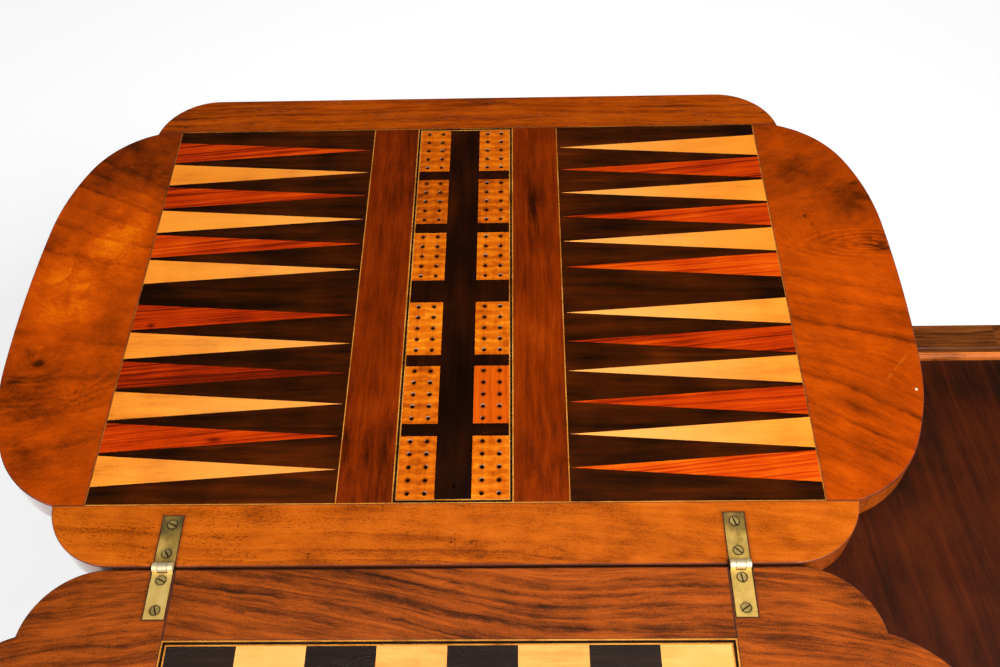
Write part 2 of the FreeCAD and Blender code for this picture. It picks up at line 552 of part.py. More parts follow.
for s, name in ((-1, "left"), (1, "right")):
    x = FRAME_X + s * STAND_X
    at = V(x, 0, 0)
    column = turned(column_profile, at, V(0, 0, 1))
    finial = turned(finial_profile, at, V(0, 0, 1))
    hub = turned(hub_profile, at, V(0, 0, 1)).cut(column).cut(finial).cut(stretcher)
    bearer = Part.Face(Part.makePolygon([V(x - BEARER_W / 2, y, z) for y, z in (
        (-BEARER_L / 2, rim_z0), (-BEARER_L / 2, rim_z0 - 9), (-BEARER_L / 2 + 30, bearer_z), (BEARER_L / 2 - 30, bearer_z),
        (BEARER_L / 2, rim_z0 - 9), (BEARER_L / 2, rim_z0), (-BEARER_L / 2, rim_z0))])).extrude(V(BEARER_W, 0, 0))
    bearer = bearer.cut(column)
    for t, side in ((-1, "front"), (1, "back")):
        one = leg(x, t)
        one = one.common(box(x - 50, x + 50, t * 30, t * 300, -1, 400))
        hub = hub.cut(one)
        legs[side + "_" + name + "_leg"] = one
        for dx in (-13, 13):
            sxx, syy, zz = x + dx, t * 176.0, rim_z0 - 21
            screw = Part.makeCone(5.0, 2.2, 4, V(sxx, syy, zz - 0.0)).fuse(cylinder(sxx, syy, zz + 4, 2.2, 36))
            slot = box(sxx - 6, sxx + 6, syy - 0.6, syy + 0.6, zz - 1, zz + 1.2)
            bearer = bearer.cut(cylinder(sxx, syy, zz - 20, 5.0, 20)).cut(screw)
            corners = [c.cut(screw) if c.BoundBox.intersect(screw.BoundBox) else c for c in corners]
            screws.append(screw.cut(slot))
    columns.append((name + "_column", column))
    # the legs' sockets leave one piece
    hubs.append((name + "_hub", max(hub.Solids, key=lambda piece: piece.Volume)))
    bearers.append(bearer)
    finials.append(finial)

save("corner_blocks", *corners)
save("bearers", *bearers)
save("bearer_screws", *screws)
for name, shape in columns + hubs:
    save(name, shape)
for name, shape in legs.items():
    save(name, shape)
save("drop_finials", *finials)
save("stretcher", stretcher.cut(Part.makeCompound([h for _, h in hubs])))
print(len(NODES), "nodes")
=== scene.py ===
import math

import bpy
from mathutils import Matrix, Vector

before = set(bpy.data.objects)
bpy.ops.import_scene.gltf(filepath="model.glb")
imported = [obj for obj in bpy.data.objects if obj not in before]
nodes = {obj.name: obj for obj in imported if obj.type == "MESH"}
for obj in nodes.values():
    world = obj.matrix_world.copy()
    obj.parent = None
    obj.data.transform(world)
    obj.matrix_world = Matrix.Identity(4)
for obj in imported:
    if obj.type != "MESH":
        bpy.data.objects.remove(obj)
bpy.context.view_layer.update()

scene = bpy.context.scene

LEAF_X = -100.95         # middle of the leaves, mm
FRAME_X = 111.45         # middle of the frame, mm


# ------------------------------------------------------------------ node helpers
class Graph:
    """A material's node tree. Lengths are millimetres in the object's own coordinates."""

    def __init__(self, name):
        self.material = bpy.data.materials.new(name)
        self.material.use_nodes = True
        self.tree = self.material.node_tree
        self.tree.nodes.clear()
        out = self.node("ShaderNodeOutputMaterial")
        self.bsdf = self.node("ShaderNodeBsdfPrincipled")
        self.tree.links.new(self.bsdf.outputs["BSDF"], out.inputs["Surface"])
        coord = self.node("ShaderNodeTexCoord")
        mm = self.node("ShaderNodeVectorMath", operation="SCALE")
        self.put(mm.inputs[0], coord.outputs["Object"])
        mm.inputs["Scale"].default_value = 1000.0
        self.mm = mm.outputs[0]
        self.x, self.y, self.z = self.split(self.mm)
        self.nx, self.ny, self.nz = self.split(coord.outputs["Normal"])

    def node(self, kind, **props):
        n = self.tree.nodes.new(kind)
        for k, v in props.items():
            setattr(n, k, v)
        return n

    def put(self, socket, value):
        if isinstance(value, bpy.types.NodeSocket):
            self.tree.links.new(value, socket)
        elif value is not None:
            if hasattr(socket.default_value, "__len__") and len(socket.default_value) == 4 and len(value) == 3:
                value = (*value, 1.0)
            socket.default_value = value

    def math(self, op, a, b=None, c=None, clamp=False):
        n = self.node("ShaderNodeMath", operation=op, use_clamp=clamp)
        for i, v in enumerate((a, b, c)):
            if v is not None:
                self.put(n.inputs[i], v)
        return n.outputs[0]

    def add(self, *terms):
        total = terms[0]
        for t in terms[1:]:
            total = self.math("ADD", total, t)
        return total

    def sub(self, a, b):
        return self.math("SUBTRACT", a, b)

    def mul(self, *terms):
        total = terms[0]
        for t in terms[1:]:
            total = self.math("MULTIPLY", total, t)
        return total

    def split(self, vector):
        n = self.node("ShaderNodeSeparateXYZ")
        self.put(n.inputs[0], vector)
        return n.outputs[0], n.outputs[1], n.outputs[2]

    def join(self, x, y, z):
        n = self.node("ShaderNodeCombineXYZ")
        for i, v in enumerate((x, y, z)):
            self.put(n.inputs[i], v)
        return n.outputs[0]

    def scaled(self, vector, size):
        n = self.node("ShaderNodeVectorMath", operation="DIVIDE")
        self.put(n.inputs[0], vector)
        n.inputs[1].default_value = size
        return n.outputs[0]

    def noise(self, vector, size, detail=2.0, rough=0.5, colour=False, twist=0.0):
        n = self.node("ShaderNodeTexNoise", noise_dimensions="3D")
        self.put(n.inputs["Vector"], self.scaled(vector, size))
        n.inputs["Scale"].default_value = 1.0
        n.inputs["Detail"].default_value = detail
        n.inputs["Roughness"].default_value = rough
        n.inputs["Distortion"].default_value = twist
        return n.outputs["Color" if colour else "Fac"]

    def noise1(self, w, detail=2.0, rough=0.5):
        n = self.node("ShaderNodeTexNoise", noise_dimensions="1D")
        self.put(n.inputs["W"], w)
        n.inputs["Scale"].default_value = 1.0
        n.inputs["Detail"].default_value = detail
        n.inputs["Roughness"].default_value = rough
        return n.outputs["Fac"]

    def white(self, w):
        n = self.node("ShaderNodeTexWhiteNoise", noise_dimensions="1D")
        self.put(n.inputs["W"], w)
        return n.outputs["Value"]

    def white3(self, vector):
        n = self.node("ShaderNodeTexWhiteNoise", noise_dimensions="3D")
        self.put(n.inputs["Vector"], vector)
        return self.split(n.outputs["Color"])

    def cells(self, vector, size, randomness=1.0, feature="F1"):
        n = self.node("ShaderNodeTexVoronoi", voronoi_dimensions="3D", feature=feature)
        self.put(n.inputs["Vector"], self.scaled(vector, size))
        n.inputs["Scale"].default_value = 1.0
        n.inputs["Randomness"].default_value = randomness
        return n.outputs["Distance"]

    def patch(self, vector, size, smoothness=0.5):
        """A random tone for each soft-edged cell."""
        n = self.node("ShaderNodeTexVoronoi", voronoi_dimensions="3D", feature="SMOOTH_F1")
        self.put(n.inputs["Vector"], self.scaled(vector, size))
        n.inputs["Scale"].default_value = 1.0
        n.inputs["Smoothness"].default_value = smoothness
        return self.split(n.outputs["Color"])[0]

    def smooth(self, value, low, high):
        """0 below low, 1 above high; 1 to 0 if low is above high."""
        turned = low > high
        n = self.node("ShaderNodeMapRange", interpolation_type="SMOOTHSTEP")
        self.put(n.inputs["Value"], value)
        n.inputs["From Min"].default_value = min(low, high)
        n.inputs["From Max"].default_value = max(low, high)
        n.inputs["To Min"].default_value = 1.0 if turned else 0.0
        n.inputs["To Max"].default_value = 0.0 if turned else 1.0
        return n.outputs[0]

    def lerp(self, t, a, b):
        n = self.node("ShaderNodeMix", data_type="FLOAT", clamp_factor=True)
        self.put(n.inputs[0], t)
        self.put(n.inputs[2], a)
        self.put(n.inputs[3], b)
        return n.outputs[0]

    def mix(self, t, a, b, blend="MIX"):
        n = self.node("ShaderNodeMix", data_type="RGBA", blend_type=blend, clamp_factor=True)
        self.put(n.inputs[0], t)
        self.put(n.inputs[6], a)
        self.put(n.inputs[7], b)
        return n.outputs[2]

    def ramp(self, value, stops):
        n = self.node("ShaderNodeValToRGB")
        self.put(n.inputs[0], value)
        e = n.color_ramp.elements
        while len(e) < len(stops):
            e.new(0.5)
        for i, (p, c) in enumerate(stops):
            e[i].position = p
            e[i].color = (*c, 1.0)
        return n.outputs[0]

    def bell(self, cx, cy, wx, wy, x=None, y=None):
        """1 at (cx, cy), falling to 0 over about wx and wy."""
        dx = self.math("DIVIDE", self.sub(x or self.x, cx), wx)
        dy = self.math("DIVIDE", self.sub(y or self.y, cy), wy)
        d2 = self.add(self.mul(dx, dx), self.mul(dy, dy))
        return self.math("POWER", 2.718, self.mul(d2, -1.0))

    def finish(self, colour, rough, height=None, depth=0.0, **constant):
        self.put(self.bsdf.inputs["Base Color"], colour)
        self.put(self.bsdf.inputs["Roughness"], rough)
        if height is not None:
            b = self.node("ShaderNodeBump")
            b.inputs["Strength"].default_value = 1.0
            b.inputs["Distance"].default_value = depth * 0.001
            self.put(b.inputs["Height"], height)
            self.put(self.bsdf.inputs["Normal"], b.outputs[0])
        for k, v in constant.items():
            self.bsdf.inputs[k.replace("_", " ")].default_value = v
        return self.material


POLISH = {"Specular_IOR_Level": 0.32, "Coat_Weight": 0.1, "Coat_Roughness": 0.08}
GLOSS = {"Specular_IOR_Level": 0.22, "Coat_IOR": 2.2, "Coat_Roughness": 0.05}


def wood(name, tones, axis="x", lean=0.0, pith=None, bend=None, warps=((3.0, 90, 30),),
         rings=(), streaks=((160, 5, 0.5),), fibre=(36, 0.8, 0.3), pores=None, mottle=(60, 0.25),
         knots=(), bands=(), cell=None, seams=(), plates=(), arris=0.0, rim=0.0, grit=0.1, extra=None, after=None, coat=None,
         rough=0.21, depth=0.06, polish=POLISH, punch=1.5):
    """A wood whose grain follows S; R counts across it, T is the third way. tones run from dark to light."""
    g = Graph(name)
    if axis == "x":
        s, r, t = g.x, g.y, g.z
    elif axis == "y":
        s, r, t = g.y, g.x, g.z
    else:
        s, r, t = g.z, g.x, g.y
    if lean:
        c, k = math.cos(math.radians(lean)), math.sin(math.radians(lean))
        s, r = g.add(g.mul(s, c), g.mul(r, k)), g.sub(g.mul(r, c), g.mul(s, k))
    lift = None
    if cell is not None:
        c0, c1, c2 = cell(g)
        s = g.add(s, g.mul(c0, 900.0))
        t = g.add(t, g.mul(c1, 400.0))
        r = g.add(r, g.mul(g.sub(c1, 0.5), 70.0), g.mul(g.sub(c0, 0.5), g.mul(0.06, g.x)))
        lift = g.sub(c2, 0.5)
    if pith is not None:
        r0, t0, slope = pith
        a = g.sub(r, r0)
        b = g.add(g.sub(t, t0), g.mul(s, slope))
        r = g.math("SQRT", g.add(g.mul(a, a), g.mul(b, b)))
    if bend is not None:
        r = bend(g, s, r, t)
    p = g.join(s, r, t)
    for amount, length, width in warps:
        n = g.noise(p, (length, width, width), 2.0, 0.5)
        r = g.add(r, g.mul(g.sub(n, 0.5), 2.0 * amount))
    dark = []
    for kx, ky, push, wx, wy, ink, ir in knots:
        hill = g.bell(kx, ky, wx, wy)
        r = g.add(r, g.mul(hill, push))
        if ink:
            dark.append(g.mul(g.bell(kx, ky, ir, ir * wy / wx * 1.2), ink))
    p = g.join(s, r, t)
    value = None
    terms = []
    for period, power, amount, jitter, patch in rings:
        w = g.math("DIVIDE", r, period)
        w = g.add(w, g.mul(g.noise1(g.mul(w, 0.41), 1.0), jitter))
        i = g.math("FLOOR", w)
        f = g.sub(w, i)
        strength = g.white(g.add(i, 0.37))
        strength = g.add(0.12, g.mul(0.88, strength, strength))
        line = g.mul(g.math("POWER", f, power), g.smooth(f, 1.0, 0.9))
        if patch:
            where = g.noise(p, (patch * 2.2, patch * 0.5, patch), 1.0)
            strength = g.mul(strength, g.smooth(where, 0.36, 0.62))
        terms.append(g.mul(line, strength, -amount))
    for length, width, amount in streaks:
        n = g.noise(p, (length, width, width), 3.0, 0.55)
        terms.append(g.mul(g.sub(n, 0.5), amount))
    if bands:
        ragged = g.add(r, g.mul(g.sub(g.noise(p, (9, 14, 9), 3.0, 0.6), 0.5), 5.0))
        broken = g.add(0.45, g.mul(0.75, g.smooth(g.noise(p, (30, 60, 30), 2.0, 0.6), 0.34, 0.62)))
        for place, half, amount in bands:
            d = g.sub(ragged, place)
            d = g.math("DIVIDE", d, half)
            core = g.math("POWER", 2.718, g.mul(d, d, -1.0))
            haze = g.mul(g.smooth(d, 5.0, 0.0), g.smooth(d, -1.6, 0.6), 0.6)
            terms.append(g.mul(g.add(g.mul(core, 0.42), haze), broken, -amount))
    fl, fw, fa = fibre
    fine = g.noise(p, (fl, fw, fw), 3.0, 0.6)
    terms.append(g.mul(g.sub(fine, 0.5), fa))
    if grit:
        terms.append(g.mul(g.sub(g.noise(g.mm, (1.1, 1.1, 1.1), 2.0, 0.6), 0.5), grit))
    ms, ma = mottle
    if ma:
        n = g.noise(g.mm, (ms, ms, ms), 2.0, 0.5)
        terms.append(g.mul(g.sub(n, 0.5), ma))
    if lift is not None:
        terms.append(g.mul(lift, 0.22))
    value = g.add(0.5, g.mul(g.add(*terms), punch))
    height = g.mul(fine, 0.5)
    if pores is not None:
        pl, pw, cut, pa = pores
        n = g.noise(p, (pl, pw, pw), 1.0, 0.4)
        pit = g.smooth(n, cut, cut + 0.07)
        patchy = g.smooth(g.noise(p, (pl * 9, pw * 16, pw * 16), 1.0), 0.38, 0.6)
        pit = g.mul(pit, patchy)
        value = g.sub(value, g.mul(pit, pa))
        height = g.sub(height, g.mul(pit, 0.8))
    for d in dark:
        value = g.sub(value, d)
    if extra is not None:
        value = extra(g, value, s, r, t)
    colour = g.ramp(value, tones)
    for way, place, half, ink in seams:
        d = g.math("ABSOLUTE", g.sub(g.x if way == "x" else g.y, place))
        line = g.mul(g.smooth(d, half, half * 0.4), ink)
        colour = g.mix(line, colour, (0.012, 0.006, 0.003))
        height = g.sub(height, line)
    for px, py0, py1 in plates:
        dx = g.sub(g.math("ABSOLUTE", g.sub(g.x, px)), 6.3)
        dy = g.sub(g.math("ABSOLUTE", g.sub(g.y, 0.5 * (py0 + py1))), 0.5 * abs(py1 - py0))
        d = g.math("MAXIMUM", dx, dy)
        worn = g.noise(g.mm, (4, 4, 4), 2.0)
        line = g.mul(g.smooth(d, 0.95, 0.35), g.add(0.55, g.mul(worn, 0.7)))
        line = g.math("MAXIMUM", line, g.mul(g.smooth(d, 3.2, 0.4), 0.3))
        colour = g.mix(line, colour, (0.01, 0.005, 0.002))
        height = g.sub(height, g.mul(line, 0.6))
    if arris:
        # Chamfered and rounded edges are painted dark: painted edge shade and soil.
        up = g.math("ABSOLUTE", g.nz)
        worn = g.mul(g.smooth(up, 0.985, 0.7), g.smooth(up, 0.1, 0.35))
        worn = g.mul(worn, arris, g.add(0.45, g.mul(0.7, g.smooth(g.noise(g.mm, (26, 26, 26), 3.0, 0.6), 0.3, 0.62))))
        colour = g.mix(worn, colour, tones[0][1])
        dull = worn
    if rim:
        # Painted edge shade: a dark line along the outer edges, from the bevel normal; the same mask darkens the joints
        # between veneers.
        soft = g.node("ShaderNodeBevel", samples=6)
        soft.inputs["Radius"].default_value = 0.002
        face = g.node("ShaderNodeNewGeometry")
        lined = g.node("ShaderNodeVectorMath", operation="DOT_PRODUCT")
        g.put(lined.inputs[0], soft.outputs[0])
        g.put(lined.inputs[1], face.outputs["Normal"])
        edge_shade_and_joints = g.smooth(lined.outputs["Value"], 0.995, 0.84)
        colour = g.mix(g.mul(edge_shade_and_joints, rim), colour, tones[0][1])
        dull = g.math("MAXIMUM", dull, edge_shade_and_joints)
        g.put(g.bsdf.inputs["Coat Weight"], g.lerp(dull, polish["Coat_Weight"], 0.0))
    if after is not None:
        colour = after(g, colour, s, r, t)
    shine = g.noise(g.mm, (34, 34, 34), 3.0, 0.6)
    roughness = g.add(rough - 0.07, g.mul(shine, 0.11), g.mul(fine, 0.04))
    if rim:
        roughness = g.lerp(dull, roughness, 0.9)
    if coat is not None:
        g.put(g.bsdf.inputs["Coat Weight"], coat(g))
    return g.finish(colour, roughness, height, depth, **polish)


def use(material, *names):
    for n in names:
        o = nodes[n]
        o.data.materials.clear()
        o.data.materials.append(material)


# ------------------------------------------------------------------ rear leaf: borders and panels
FIELD_SEAMS = (("y", 42.65, 0.5, 0.6), ("y", 386.35, 0.5, 0.6))

honey_tones = ((0.0, (0.0792, 0.0133, 0.00077)), (0.28, (0.264, 0.0456, 0.0011)), (0.52, (0.454, 0.0866, 0.0028)), (0.8, (0.591, 0.129, 0.006)), (1.0, (0.697, 0.178, 0.0116)))
far_tones = ((0.0, (0.0651, 0.0091, 0.00012)), (0.28, (0.186, 0.0258, 0.00024)), (0.52, (0.316, 0.0471, 0.00036)), (0.8, (0.419, 0.0684, 0.00072)), (1.0, (0.512, 0.0988, 0.0017)))
panel_tones = ((0.0, (0.05, 0.0078, 5e-05)), (0.2, (0.158, 0.0196, 5e-05)), (0.45, (0.33, 0.0398, 6e-05)), (0.7, (0.51, 0.066, 0.0001)), (1.0, (0.76, 0.155, 0.0006)))


def hinge_bend(g, s, r, t):
    """Flat-sawn figure: long nested curves, tighter to the right."""
    u = g.sub(g.x, LEAF_X)
    tip = g.mul(g.smooth(u, 60.0, 240.0), g.math("ABSOLUTE", g.sub(g.y, 20.0)), 0.5)
    return g.add(r, g.mul(u, 0.05), g.mul(g.math("SINE", g.math("DIVIDE", s, 62.0)), 3.0), g.mul(g.math("SINE", g.math("DIVIDE", s, 23.0)), 0.8),
                 g.mul(tip, -0.6), g.mul(g.smooth(u, 60.0, 260.0), 9.0))


HINGES = (LEAF_X - 174.0, LEAF_X + 174.0)
PLATES_UP = tuple((hx, 0.0, 34.9) for hx in HINGES)
PLATES_LOW = tuple((hx, -32.6, 0.0) for hx in HINGES)


def marks(g, value, s, r, t):
    """Short pores, denser to the left; a bruise and a faint ring in the middle; dirt along the hinge edge."""
    u = g.sub(g.x, LEAF_X)
    many = g.lerp(g.smooth(u, 160.0, -150.0), 0.34, 1.0)
    pit = g.smooth(g.noise(g.join(g.x, r, g.z), (2.7, 0.85, 1.0), 1.0, 0.4), 0.585, 0.66)
    pit = g.mul(pit, g.smooth(g.noise(g.mm, (30, 9, 10), 2.0), 0.36, 0.58), many)
    cloud = g.mul(g.bell(LEAF_X + 10.0, 8.0, 60.0, 9.0), g.smooth(g.noise(g.mm, (16, 6, 8), 3.0, 0.6), 0.36, 0.66))
    cut = g.math("MAXIMUM", g.bell(LEAF_X + 1.0, 16.6, 2.2, 3.4), g.bell(LEAF_X + 12.0, 15.6, 3.4, 1.8))
    cut = g.mul(cut, g.smooth(g.noise(g.mm, (1.3, 2.2, 2), 2.0, 0.6), 0.44, 0.56))
    ring = g.sub(g.math("SQRT", g.add(g.math("POWER", g.math("DIVIDE", g.sub(g.x, LEAF_X + 60.0), 2.0), 2.0), g.math("POWER", g.sub(g.y, 8.6), 2.0))), 4.4)
    ring = g.mul(g.smooth(g.math("ABSOLUTE", ring), 1.5, 0.3), g.smooth(g.noise(g.mm, (5, 3, 4), 2.0), 0.38, 0.6))
    soil = g.smooth(g.y, 2.0, 0.5)
    brown = g.mul(g.math("MAXIMUM", g.bell(LEAF_X + 150.0, 8.0, 60.0, 10.0), g.mul(g.bell(LEAF_X - 250.0, 14.0, 40.0, 20.0), 0.1)), g.noise(g.mm, (26, 9, 12), 3.0, 0.6))
    end = g.smooth(u, 120.0, 220.0)
    left = g.smooth(u, -150.0, -215.0)
    ex, ey = g.math("DIVIDE", g.sub(u, 30.0), 6.5), g.sub(g.y, 9.0)
    oval = g.math("SQRT", g.add(g.mul(ex, ex), g.mul(ey, ey)))
    oval = g.add(oval, g.mul(g.noise(g.mm, (40, 12, 20), 2.0), 6.0))
    arc = g.mul(g.math("SINE", g.mul(oval, 1.15)), g.smooth(u, 50.0, 110.0), g.smooth(g.noise(g.mm, (50, 16, 20), 1.0), 0.36, 0.56))
    return g.add(value, g.mul(pit, -0.3), g.mul(cloud, -0.17), g.mul(brown, -0.14), g.mul(cut, -0.4), g.mul(ring, -0.14), g.mul(soil, -0.5), g.mul(end, 0.05), g.mul(left, 0.1), g.mul(arc, 0.075))


use(wood("honey_walnut_hinge", honey_tones, bend=hinge_bend, warps=((4.0, 80, 18), (1.2, 22, 6)),
         rings=((9.5, 1.6, 0.16, 1.8, 50), (3.8, 1.4, 0.08, 1.4, 30)), streaks=((70, 8, 0.3), (30, 2.8, 0.14)), fibre=(8, 1.0, 0.26),
         mottle=(24, 0.38), grit=0.28, seams=FIELD_SEAMS, plates=PLATES_UP, arris=0.9, rim=0.7, extra=marks, depth=0.04), "upper_hinge_border")
def far_bend(g, s, r, t):
    return g.add(r, g.mul(g.math("SINE", g.math("DIVIDE", s, 70.0)), 2.6), g.mul(g.math("SINE", g.math("DIVIDE", s, 19.0)), 0.5))


use(wood("honey_walnut_far", far_tones, bend=far_bend, warps=((4.0, 90, 14), (1.0, 24, 6)),
         rings=((7.0, 2.0, 0.26, 1.8, 46), (3.0, 1.6, 0.12, 1.4, 30)), streaks=((110, 6, 0.6), (40, 2.6, 0.42)), fibre=(11, 1.3, 0.46),
         pores=(4, 0.9, 0.59, 0.2), mottle=(60, 0.3), grit=0.14, seams=FIELD_SEAMS, arris=0.9, rim=0.8), "upper_far_border")


def left_bend(g, s, r, t):
    """Lines that fall to the right above the knot and rise to the right below it."""
    slope = g.add(g.lerp(g.smooth(g.y, 108.0, 205.0), -0.22, 0.26), g.mul(g.smooth(g.y, 250.0, 320.0), 0.26))
    return g.add(g.y, g.mul(slope, g.sub(g.x, LEAF_X - 270.0)))


def left_light(g, value, s, r, t):
    """Pale glowing patches at mid height, shade towards the outer edge, burr pips below."""
    warp = g.noise(g.mm, (30, 30, 30), 2.0, 0.5, colour=True)
    w0, w1, w2 = g.split(warp)
    q = g.join(g.add(g.x, g.mul(w0, 22.0)), g.add(g.y, g.mul(w1, 22.0)), g.z)
    glow = g.math("MAXIMUM", g.bell(LEAF_X - 262.0, 262.0, 32.0, 36.0), g.bell(LEAF_X - 286.0, 222.0, 28.0, 40.0))
    flake = g.mul(g.patch(q, (11, 14, 30), 0.2), 0.7)
    vein = g.smooth(g.cells(q, (17, 22, 40), 1.0, "DISTANCE_TO_EDGE"), 0.05, 0.0)
    top = g.smooth(g.y, 300.0, 345.0)
    edge = g.mul(g.bell(LEAF_X - 322.0, 300.0, 18.0, 80.0), g.add(0.5, w2))
    low = g.mul(g.bell(LEAF_X - 306.0, 140.0, 34.0, 34.0), g.smooth(g.noise(q, (20, 9, 12), 4.0, 0.65), 0.28, 0.66))
    kx, ky = g.math("DIVIDE", g.sub(g.x, LEAF_X - 291.0), 2.3), g.sub(g.y, 150.0)
    swirl = g.math("SQRT", g.add(g.mul(kx, kx), g.mul(ky, ky)))
    swirl = g.add(swirl, g.mul(g.noise(g.mm, (26, 12, 14), 3.0, 0.6), 9.0), g.mul(g.x, 0.05))
    swirl = g.add(swirl, g.mul(g.noise(g.mm, (7, 5, 6), 3.0, 0.6), 3.0))
    swirls = g.mul(g.math("SINE", g.mul(swirl, 1.3)), g.smooth(swirl, 44.0, 20.0), g.smooth(ky, 14.0, -8.0), g.smooth(g.noise(g.mm, (22, 8, 10), 2.0), 0.42, 0.64))
    pips = g.mul(g.bell(LEAF_X - 257.0, 126.0, 13.0, 11.0), g.smooth(g.noise(q, (3.0, 2.0, 2.4), 2.0, 0.6), 0.5, 0.6))
    around = g.mul(g.bell(LEAF_X - 293.0, 149.0, 22.0, 17.0), g.add(0.4, w1))
    foot = g.mul(g.bell(LEAF_X - 296.0, 80.0, 44.0, 46.0), g.smooth(g.noise(q, (26, 12, 16), 3.0, 0.6), 0.36, 0.62))
    curl = g.sub(g.noise(q, (13, 8, 10), 4.0, 0.65), 0.5)
    return g.add(value, g.mul(glow, g.add(0.4, flake), 0.4), g.mul(glow, vein, -0.1), g.mul(top, -0.31), g.mul(edge, -0.12), g.mul(low, g.smooth(g.bell(LEAF_X - 291.0, 153.5, 12.0, 7.0), 0.5, 0.1), -0.24), g.mul(swirls, 0.07),
                 g.mul(pips, -0.2), g.mul(around, -0.1), g.mul(foot, -0.14), g.mul(curl, 0.3))


use(wood("figured_walnut_left", panel_tones, bend=left_bend, warps=((7.0, 60, 38), (2.6, 22, 12), (1.0, 8, 5)),
         rings=((6.5, 1.4, 0.04, 1.6, 40),), streaks=((34, 13, 0.18), (14, 6.0, 0.13)), fibre=(4, 1.3, 0.2), pores=(2.2, 0.9, 0.62, 0.1),
         mottle=(22, 0.36), grit=0.2, bands=((345.0, 1.6, 0.13), (328.0, 1.4, 0.1), (310.0, 1.7, 0.17), (290.0, 1.8, 0.09), (271.0, 1.6, 0.12), (247.0, 1.2, 0.1),
                                  (174.0, 2.4, 0.08), (140.0, 2.4, 0.1), (112.0, 2.2, 0.08), (84.0, 2.4, 0.08)),
         knots=((LEAF_X - 291.0, 153.5, 13.0, 15.0, 10.0, 0.6, 3.6), (LEAF_X - 256.0, 127.0, 9.0, 13.0, 9.0, 0.08, 7.0),
                (LEAF_X - 300.0, 262.0, 3.0, 8.0, 6.0, 0.3, 1.2)),
         seams=FIELD_SEAMS, arris=1.0, rim=0.8, extra=left_light, depth=0.03), "upper_left_panel")


def right_bend(g, s, r, t):
    """Lines that fall to the right in the lower part and rise to the right above the loops."""
    slope = g.lerp(g.smooth(g.y, 262.0, 330.0), g.lerp(g.smooth(g.y, 115.0, 172.0), 0.6, 0.3), -0.5)
    return g.add(g.y, g.mul(slope, g.sub(g.x, LEAF_X + 262.0)))


def right_light(g, value, s, r, t):
    shade = g.math("MAXIMUM", g.bell(LEAF_X + 298.0, 302.0, 28.0, 20.0), g.mul(g.bell(LEAF_X + 258.0, 336.0, 18.0, 16.0), 0.6))
    n = g.smooth(g.noise(g.mm, (30, 15, 16), 5.0, 0.62), 0.3, 0.68)
    hx, hy = g.math("DIVIDE", g.sub(g.x, LEAF_X + 300.0), 3.2), g.sub(g.y, 255.0)
    loop = g.math("SQRT", g.add(g.mul(hx, hx), g.mul(hy, hy)))
    loop = g.add(loop, g.mul(g.noise(g.mm, (22, 9, 14), 3.0, 0.6), 5.0))
    loops = g.mul(g.math("SINE", g.mul(loop, 1.9)), g.smooth(loop, 24.0, 15.0), g.smooth(g.noise(g.mm, (18, 8, 10), 2.0), 0.34, 0.58))
    slant = g.join(g.x, g.add(g.y, g.mul(g.x, 0.36)), g.z)
    bark = g.mul(g.bell(LEAF_X + 309.0, 256.0, 11.0, 10.0), g.smooth(g.noise(slant, (14, 3.6, 6), 4.0, 0.7), 0.38, 0.62))
    curl = g.sub(g.noise(slant, (16, 7, 10), 4.0, 0.65), 0.5)
    eyes = g.math("MAXIMUM", g.bell(LEAF_X + 286.0, 309.0, 5.0, 1.8), g.bell(LEAF_X + 301.0, 318.0, 3.0, 1.6))
    crack = g.sub(g.y, g.add(256.5, g.mul(g.sub(g.x, LEAF_X + 290.0), -0.26), g.mul(g.math("SINE", g.math("DIVIDE", g.x, 2.6)), 0.7)))
    crack = g.mul(g.smooth(g.math("ABSOLUTE", crack), 0.8, 0.15), g.smooth(g.x, LEAF_X + 270.0, LEAF_X + 279.0))
    glow = g.bell(LEAF_X + 272.0, 226.0, 46.0, 24.0)
    top = g.smooth(g.y, 270.0, 320.0)
    low = g.bell(LEAF_X + 276.0, 96.0, 50.0, 46.0)
    return g.add(value, g.mul(shade, g.add(0.45, n), -0.2), g.mul(bark, -0.56), g.mul(eyes, -0.16), g.mul(crack, -0.22), g.mul(glow, 0.14), g.mul(top, -0.11), g.mul(loops, 0.1),
                 g.mul(low, -0.02), g.mul(curl, 0.26))


def right_marks(g, colour, s, r, t):
    """A pale rubbed scratch and a tiny chip."""
    along = g.add(g.mul(g.sub(g.x, LEAF_X + 298.0), 0.65), g.mul(g.sub(g.y, 144.0), 0.76))
    across = g.sub(g.mul(g.sub(g.x, LEAF_X + 298.0), 0.76), g.mul(g.sub(g.y, 144.0), 0.65))
    rub = g.mul(g.smooth(g.math("ABSOLUTE", across), 1.6, 0.2), g.smooth(g.math("ABSOLUTE", along), 19.0, 9.0))
    rub = g.mul(rub, g.smooth(g.noise(g.mm, (4, 4, 4), 2.0), 0.3, 0.6), 0.26)
    colour = g.mix(rub, colour, (0.62, 0.13, 0.006))
    glint_and_chip = g.smooth(g.bell(LEAF_X + 306.7, 125.4, 1.0, 1.2), 0.3, 0.6)
    return g.mix(glint_and_chip, colour, (0.8, 0.62, 0.42))


